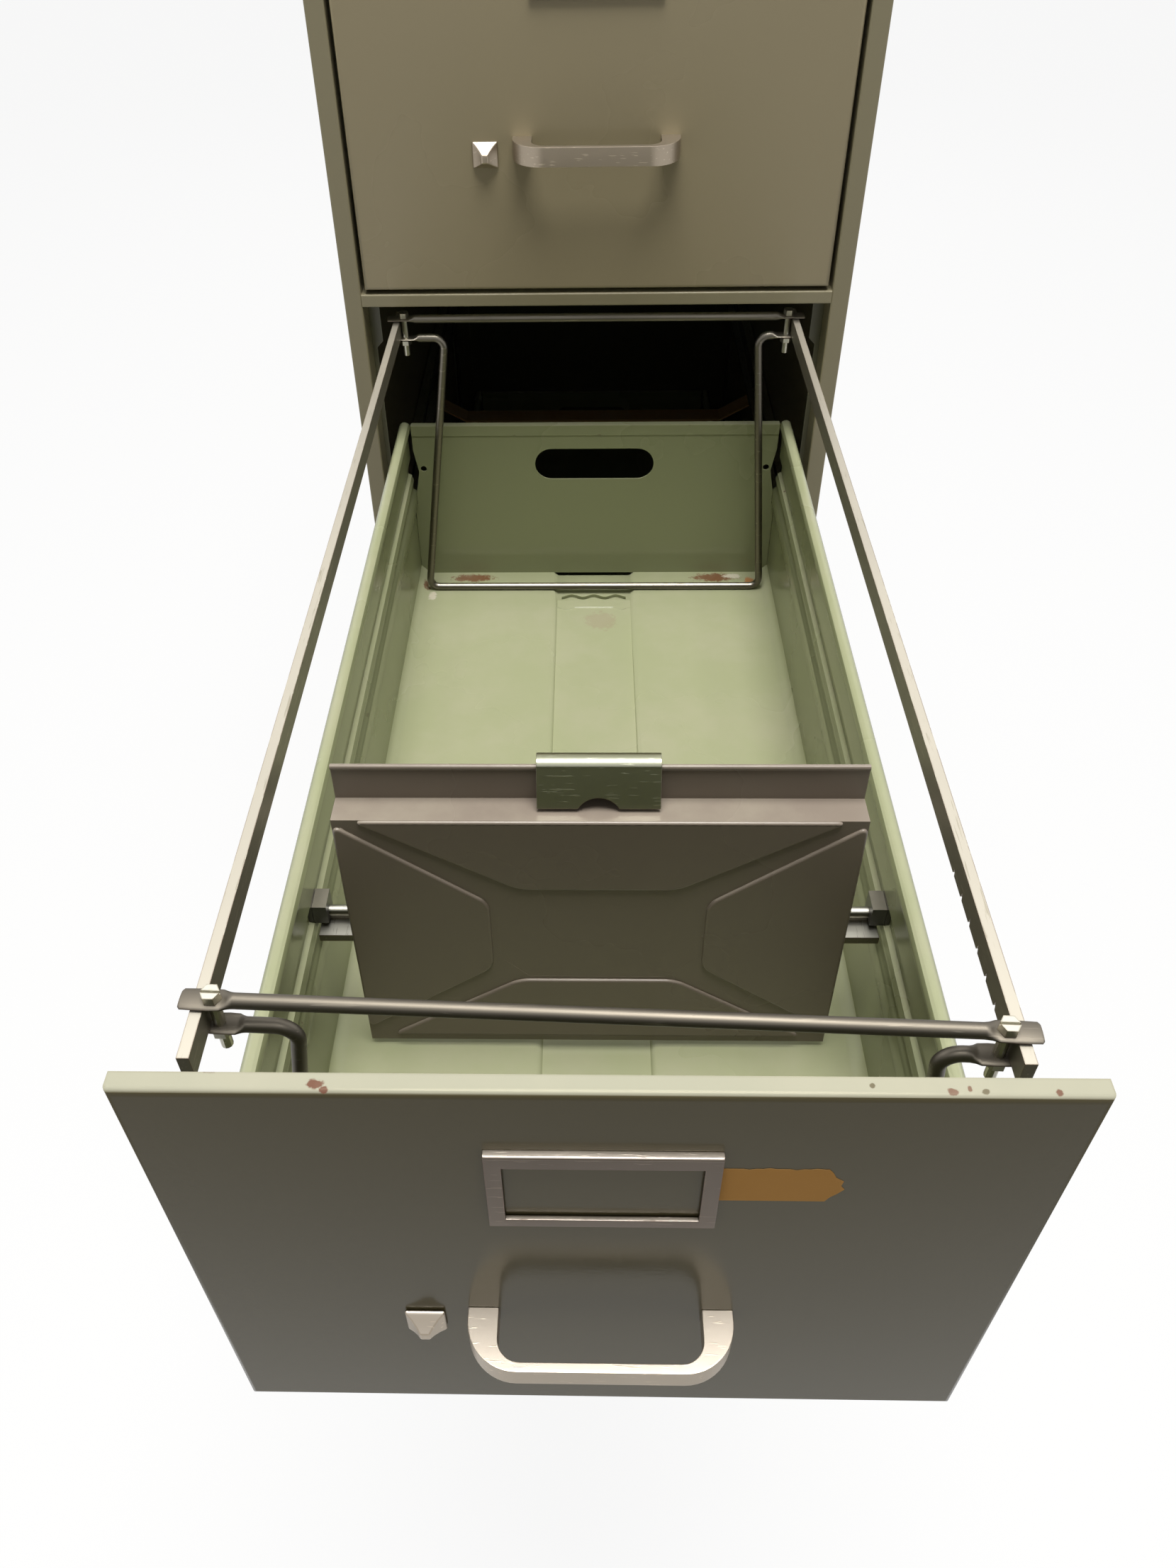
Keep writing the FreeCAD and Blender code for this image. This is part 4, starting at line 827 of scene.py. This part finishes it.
def hammer_both_ends(piece, ends, length):
    """Flatten the far end, which is still selected, and then the first one."""
    hammer_flat(-1, length)
    pick(piece, "FACE", lambda place, way: abs(way.x) > 0.9 and place.x > ends - 0.5 and place.z > ENDS_ABOVE)
    hammer_flat(1, length)
    stop_editing()
    close_up(piece)
    smooth(piece, 50)


def cross_bar_piece():
    piece = wire("cross_bar", ((CROSS_BAR_HALF, CROSS_BAR_LEVEL), (-CROSS_BAR_HALF, CROSS_BAR_LEVEL)))
    hammer_both_ends(piece, CROSS_BAR_HALF, CROSS_BAR_TONGUE)
    return piece


def u_wire_piece():
    """The wire below a cross bar, whose legs have been bent unevenly in use."""
    path = (
        (WIRE_TAB_HALF, WIRE_TAB_LEVEL), (WIRE_RIGHT_BEND, WIRE_TAB_LEVEL),
        (WIRE_FOOT_HALF, WIRE_FOOT_LEVEL), (-WIRE_FOOT_HALF, WIRE_FOOT_LEVEL),
        (WIRE_LEFT_BEND, WIRE_TAB_LEVEL), (-WIRE_TAB_HALF, WIRE_TAB_LEVEL))
    piece = wire("u_wire", path, WIRE_BEND)
    hammer_both_ends(piece, WIRE_TAB_HALF, WIRE_TAB_TONGUE)
    return piece


# Follower's clip: a strip of spring steel folded over the plate's flange, with a thumb scallop

CLIP_HALF = 31.8
CLIP_FRONT = -1.8
CLIP_BACK = 9.2
CLIP_LOW = 85.9
CLIP_HIGH = 112.4
CLIP_FOLD = 4.4
CLIP_SLANT = 6.5
CLIP_SHEET = 1.5
SCALLOP_RADIUS = 12.5
SCALLOP_LEVEL = 80.2
PIN_RADIUS = 1.6
PIN_LENGTH = 73
PIN_PLACE = (0, 8.45, 87.5)


def clip_piece():
    piece = block("spring_clip", (-CLIP_HALF, CLIP_FRONT, CLIP_LOW), (CLIP_HALF, CLIP_BACK, CLIP_HIGH))
    pick(piece, "EDGE", lambda place, way: abs(way.x) > 0.9 and place.z > CLIP_HIGH - 1)
    bpy.ops.mesh.bevel(offset=CLIP_FOLD * MM, segments=7, affect="EDGES")
    pick(piece, "FACE", lambda place, way: abs(way.x) > 0.9 or way.z < -0.9)
    bpy.ops.mesh.delete(type="FACE")
    pick(piece, "VERT", lambda place, way: place.y < CLIP_FRONT + 0.3 and place.z < CLIP_LOW + 1)
    bpy.ops.transform.translate(value=(0, -CLIP_SLANT * MM, 0.9 * MM))
    stop_editing()
    apply_modifier(piece, "SOLIDIFY", thickness=CLIP_SHEET * MM, offset=-1)
    thumb = round_bar(64, SCALLOP_RADIUS, 8, (0, -8, SCALLOP_LEVEL), ALONG_Y)
    settle(thumb)
    carve(piece, thumb)
    soften(piece, 0.35, 2, 40)
    pin = round_bar(24, PIN_RADIUS, PIN_LENGTH, PIN_PLACE, ALONG_X)
    soften(pin, 0.4, 2, 40)
    join_on(piece, pin)
    smooth(piece, 40)
    return piece


# Follower's plate: four fields stand proud of the pressed sheet and leave a cross with a flat middle

PLATE_FACE = -14.5
FIELD_PROUD = 1.8
FOLLOWER_AXIS = Vector((0, 215, 119))
FOLLOWER_LEAN = -1.7

# The four fields' corners across and up, the upper left one first and then clockwise
FIELDS = (
    ((-127, 84.4), (127, 84.4), (43, 34), (-43, 34)),
    ((-45, -42), (45, -42), (124, -95), (-124, -95)),
    ((-137.3, 82), (-59, 23), (-59, -31), (-137.3, -88)),
    ((59, 23), (137.3, 82), (137.3, -88), (59, -31)))


def field_piece(corners):
    """One raised field, drawn out to its corners from a square block."""
    half = 10
    piece = block("field", (-half, PLATE_FACE - FIELD_PROUD, -half), (half, PLATE_FACE + 0.4, half))
    block_corners = ((-half, half), (half, half), (half, -half), (-half, -half))
    for (side, level), (across, up) in zip(block_corners, corners):
        pick(piece, "VERT", lambda place, way: math.hypot(place.x - side, place.z - level) < 0.1)
        bpy.ops.transform.translate(value=((across - side) * MM, 0, (up - level) * MM))
    pick(piece, "EDGE", lambda place, way: abs(way.y) > 0.9)
    bpy.ops.mesh.bevel(offset=6 * MM, segments=5, affect="EDGES")
    pick(piece, "FACE", lambda place, way: way.y < -0.9)
    bpy.ops.mesh.bevel(offset=1.5 * MM, segments=3, affect="EDGES")
    stop_editing()
    return piece


def turn_about_bar(piece, angle):
    piece.rotation_euler = (math.radians(angle), 0, 0)
    settle(piece)


def put_on_bar(piece, sign=1):
    piece.location = sign * (drawer_shift(OPEN_DRAWER) + FOLLOWER_AXIS * MM)
    settle(piece)


def plate_piece():
    """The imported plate, stood upright, cleared of its own relief, pressed again and leant back."""
    piece = merged_copy("follower_plate", "pressed_plate")
    put_on_bar(piece, -1)
    turn_about_bar(piece, -FOLLOWER_LEAN)
    carve(piece, block("press_space", (-150, -40, -120), (150, PLATE_FACE - 0.02, 120)))
    unite(piece, block("middle", (-55.4, PLATE_FACE + 0.03, -40.4), (55.4, PLATE_FACE + 1.1, 34.4)))
    for corners in FIELDS:
        unite(piece, field_piece(corners))
    turn_about_bar(piece, FOLLOWER_LEAN)
    put_on_bar(piece)
    smooth(piece, SHEET_SMOOTH)
    return piece


# Remnant of old tape on the open front, torn at its right end

TAPE_WIDE = 40
TAPE_HIGH = 24
TAPE_ACROSS = 64
TAPE_LEVEL = 217
TAPE_STANDS_OFF = 0.12
TAPE_SHEET = 0.1
TAPE_TEARS = (0.5, 2.2, 4.6, 6.8, 5.2, 5.8, 2.6, 1.2, -0.6)
TAPE_DIPS = ((54, -0.5), (61.5, 0.6), (71.5, -0.7), (79, 0.5))


def tape_piece():
    stop_editing()
    bpy.ops.mesh.primitive_grid_add(
        x_subdivisions=16, y_subdivisions=8, size=1,
        location=(TAPE_ACROSS * MM, -TAPE_STANDS_OFF * MM, TAPE_LEVEL * MM), rotation=ALONG_Y)
    piece = bpy.context.active_object
    piece.name = "old_tape"
    piece.scale = (TAPE_WIDE * MM, TAPE_HIGH * MM, 1)
    settle(piece)
    end = TAPE_ACROSS + TAPE_WIDE / 2
    top = TAPE_LEVEL + TAPE_HIGH / 2
    for index, tear in enumerate(TAPE_TEARS):
        level = TAPE_LEVEL - TAPE_HIGH / 2 + index * TAPE_HIGH / 8
        pick(piece, "VERT", lambda place, way: place.x > end - 0.5 and abs(place.z - level) < 1)
        bpy.ops.transform.translate(value=(tear * MM, 0, 0.3 * (index % 2) * MM))
    for across, dip in TAPE_DIPS:
        pick(piece, "VERT", lambda place, way: abs(place.x - across) < 1.4 and place.z > top - 0.5)
        bpy.ops.transform.translate(value=(0, 0, dip * MM))
    stop_editing()
    apply_modifier(piece, "SOLIDIFY", thickness=TAPE_SHEET * MM, offset=0)
    close_up(piece)
    return piece


# Wavy lip at the rear end of the tray's floor channel

FLOOR_DIP = 10.4
LIP_PLACE = 677
LIP_HALF = 29
LIP_HIGH = 2.8
LIP_SHEET = 1.0
LIP_SWAY = 1.9
LIP_WAVE = 20


def floor_lip_piece():
    stop_editing()
    columns = LIP_HALF
    bpy.ops.mesh.primitive_grid_add(
        x_subdivisions=columns, y_subdivisions=1, size=1,
        location=(0, LIP_PLACE * MM, (FLOOR_DIP + 1) * MM), rotation=ALONG_Y)
    piece = bpy.context.active_object
    piece.name = "floor_lip"
    piece.scale = (2 * LIP_HALF * MM, LIP_HIGH * MM, 1)
    settle(piece)
    for column in range(columns + 1):
        across = 2 * column - LIP_HALF
        sway = LIP_SWAY * math.cos(2 * math.pi * across / LIP_WAVE)
        pick(piece, "VERT", lambda place, way: abs(place.x - across) < 0.5)
        bpy.ops.transform.translate(value=(0, sway * MM, 0))
    stop_editing()
    apply_modifier(piece, "SOLIDIFY", thickness=LIP_SHEET * MM, offset=0)
    soften(piece, 0.25, 2, 50)
    smooth(piece, 40)
    return piece


# Placing the fittings

LATCH_PLACE = Vector((-77.4, 0, 94.5)) * MM
FRAME_SKEW = -2.3

# The hanging frame's ends: which end, distance behind the drawer's front, how far askew they have come to
# stand, and their steel, the rear one a lighter copy with a painted highlight
FRAMES = (("front", 41, FRAME_SKEW, rod_steel), ("rear", 686, 0, rubbed_steel))


def fit_drawers():
    masters = (
        (handle_piece(), "pull", "handle", satin_metal, "satin_metal", "drawer", Vector()),
        (label_piece(), "label_frame", "label_frame", label_metal, "label_metal", "drawer", Vector()),
        (latch_piece(), "thumb_latch", "latch", satin_metal, "satin_metal", "latch", LATCH_PLACE))
    for master, name, node, material, slot, body, shift in masters:
        for number in DRAWERS:
            piece = copy_of(master, "%s_%d" % (name, number), drawer_shift(number) + shift)
            finish_piece(piece, material, "%s_%d" % (body, number), slot, "drawer_%d_%s" % (number, node))
        bpy.data.objects.remove(master)


def fit_hanger():
    masters = ((cross_bar_piece(), "cross_rod", "cross_bar"), (u_wire_piece(), "u_wire", "u_frame"))
    for master, name, node in masters:
        for end, back, skew, steel in FRAMES:
            piece = copy_of(master, "%s_%s" % (name, end), (0, 0, 0))
            piece.rotation_euler = (0, 0, math.radians(skew))
            piece.location = drawer_shift(OPEN_DRAWER) + Vector((0, back * MM, 0))
            settle(piece)
            finish_piece(piece, steel, OPEN_BODY, "rod_steel", "%s_%s" % (node, end))
        bpy.data.objects.remove(master)


def fit_follower():
    finish_piece(plate_piece(), follower_enamel, "follower_plate", "follower_enamel", "follower_plate")
    clip = clip_piece()
    turn_about_bar(clip, FOLLOWER_LEAN)
    put_on_bar(clip)
    finish_piece(clip, zinc_steel, "follower_clip", "zinc_steel", "follower_clip")


def fit_sheets():
    for number in DRAWERS:
        body = "drawer_%d" % number
        paint = shaded_open_enamel if number == OPEN_DRAWER else front_enamel
        soften_sheet("drawer_%d_front" % number, body, "case_enamel", paint)
        soften_sheet("drawer_%d_tray" % number, body, "case_enamel", tray_enamel)
    for name in ("top_panel", "side_panel_right", "side_panel_left", "bottom_rail",
                 "divider_rail_1", "divider_rail_2", "divider_rail_3"):
        soften_sheet(name, "cabinet", "case_enamel", case_enamel)
    soften_sheet("follower_bar", "follower_carriage", "slide_steel", slide_steel)


def fit_lip_and_tape():
    for piece, material in ((floor_lip_piece(), tray_enamel), (tape_piece(), old_tape)):
        piece.location = drawer_shift(OPEN_DRAWER)
        settle(piece)
        finish_piece(piece, material, OPEN_BODY, "case_enamel")


fit_sheets()
fit_drawers()
fit_hanger()
fit_follower()
fit_lip_and_tape()


# Floor, lights and camera

FLOOR_SIZE = 14
FLOOR_GLOW = 0.9
SKY_STRENGTH = 0.26

# Name, place, target, size, power and colour
LAMPS = (
    ("overhead", (0.1, -0.9, 3.3), (0, -0.75, 0.8), 1.4, 84, (1.0, 0.985, 0.95)),
    ("left_fill", (-3.0, 0.4, 2.2), (0, -0.2, 0.7), 1.8, 16, (1.0, 0.98, 0.96)),
    ("right_fill", (3.0, 0.4, 2.2), (0, -0.2, 0.7), 1.8, 14, (0.97, 0.98, 1.0)),
    ("back_fill", (0.0, 3.4, 2.2), (0, 0, 0.7), 1.8, 16, (1.0, 1.0, 1.0)))


def seen_directly(bench):
    """1 where the camera, a mirror or glass looks, 0 where light falls."""
    path = bench.node("ShaderNodeLightPath").outputs
    looked_at = bench.math("MAXIMUM", path["Is Camera Ray"], path["Is Glossy Ray"])
    return bench.math("MAXIMUM", looked_at, path["Is Transmission Ray"])


def floor():
    """A pale floor that takes shadows, and glows white where it is looked at."""
    bpy.ops.mesh.primitive_plane_add(size=FLOOR_SIZE, location=(0, 0, -0.5 * MM))
    plane = bpy.context.active_object
    plane.name = "floor"
    finish = Finish("pale_floor")
    grain = finish.node("ShaderNodeTexNoise")
    grain.inputs["Scale"].default_value = 3.0
    finish.drive(finish.mix(grain.outputs["Fac"], shade(240, 240, 238), shade(248, 248, 246)), "Base Color")
    finish.set(Roughness=0.7)
    glow = finish.node("ShaderNodeEmission")
    mixed = finish.node("ShaderNodeMixShader")
    finish.join(finish.math("MULTIPLY", seen_directly(finish), FLOOR_GLOW), mixed.inputs["Fac"])
    finish.join(finish.shader.outputs[0], mixed.inputs[1])
    finish.join(glow.outputs[0], mixed.inputs[2])
    finish.join(mixed.outputs[0], finish.tree.nodes["Material Output"].inputs["Surface"])
    plane.data.materials.append(finish.material)


def area_light(name, place, target, size, power, colour):
    data = bpy.data.lights.new(name, "AREA")
    data.shape = "DISK"
    data.size = size
    data.energy = power
    data.color = colour
    lamp = bpy.data.objects.new(name, data)
    bpy.context.scene.collection.objects.link(lamp)
    lamp.location = place
    way = Vector(target) - Vector(place)
    lamp.rotation_euler = way.to_track_quat("-Z", "Y").to_euler()


def world():
    """A dim sky for light, and a white one where it is looked at."""
    studio = bpy.data.worlds.new("studio")
    bpy.context.scene.world = studio
    studio.use_nodes = True
    bench = Bench(studio.node_tree)
    dim = bench.tree.nodes["Background"]
    dim.inputs["Color"].default_value = (1.0, 0.985, 0.96, 1)
    dim.inputs["Strength"].default_value = SKY_STRENGTH
    white = bench.node("ShaderNodeBackground")
    white.inputs["Color"].default_value = (1, 1, 1, 1)
    white.inputs["Strength"].default_value = 1.0
    chooser = bench.node("ShaderNodeMixShader")
    bench.join(seen_directly(bench), chooser.inputs["Fac"])
    bench.join(dim.outputs[0], chooser.inputs[1])
    bench.join(white.outputs[0], chooser.inputs[2])
    bench.join(chooser.outputs[0], bench.tree.nodes["World Output"].inputs["Surface"])


# The photograph's view, solved from the cabinet's parallel edges: lengths in the picture are in its pixels,
# places in metres and angles in radians

PHOTO_WIDTH = 1659
PHOTO_HEIGHT = 2212
FOCAL = 1679.16
MIDDLE_ACROSS = 786.92
MIDDLE_DOWN = 1066.42
EYE = (-0.00598, -1.25638, 1.34056)
YAW = -0.03334
PITCH = 0.74202
ROLL = 0.02151
SENSOR = 36.0


def camera():
    data = bpy.data.cameras.new("photo_camera")
    data.sensor_fit = "VERTICAL"
    data.sensor_height = SENSOR
    data.lens = FOCAL * SENSOR / PHOTO_HEIGHT
    data.shift_x = (PHOTO_WIDTH / 2 - MIDDLE_ACROSS) / PHOTO_HEIGHT
    data.shift_y = (MIDDLE_DOWN - PHOTO_HEIGHT / 2) / PHOTO_HEIGHT
    data.clip_start = 0.02
    forward = Vector((math.sin(YAW) * math.cos(PITCH), math.cos(YAW) * math.cos(PITCH), -math.sin(PITCH)))
    level = Vector((math.cos(YAW), -math.sin(YAW), 0))
    down = forward.cross(level)
    right = math.cos(ROLL) * level + math.sin(ROLL) * down
    below = -math.sin(ROLL) * level + math.cos(ROLL) * down
    turn = Matrix((right, -below, -forward)).transposed()
    eye = bpy.data.objects.new("photo_camera", data)
    bpy.context.scene.collection.objects.link(eye)
    eye.matrix_world = Matrix.Translation(EYE) @ turn.to_4x4()
    bpy.context.scene.camera = eye


bpy.context.scene.view_settings.view_transform = "Standard"
floor()
world()
for lamp in LAMPS:
    area_light(*lamp)
camera()
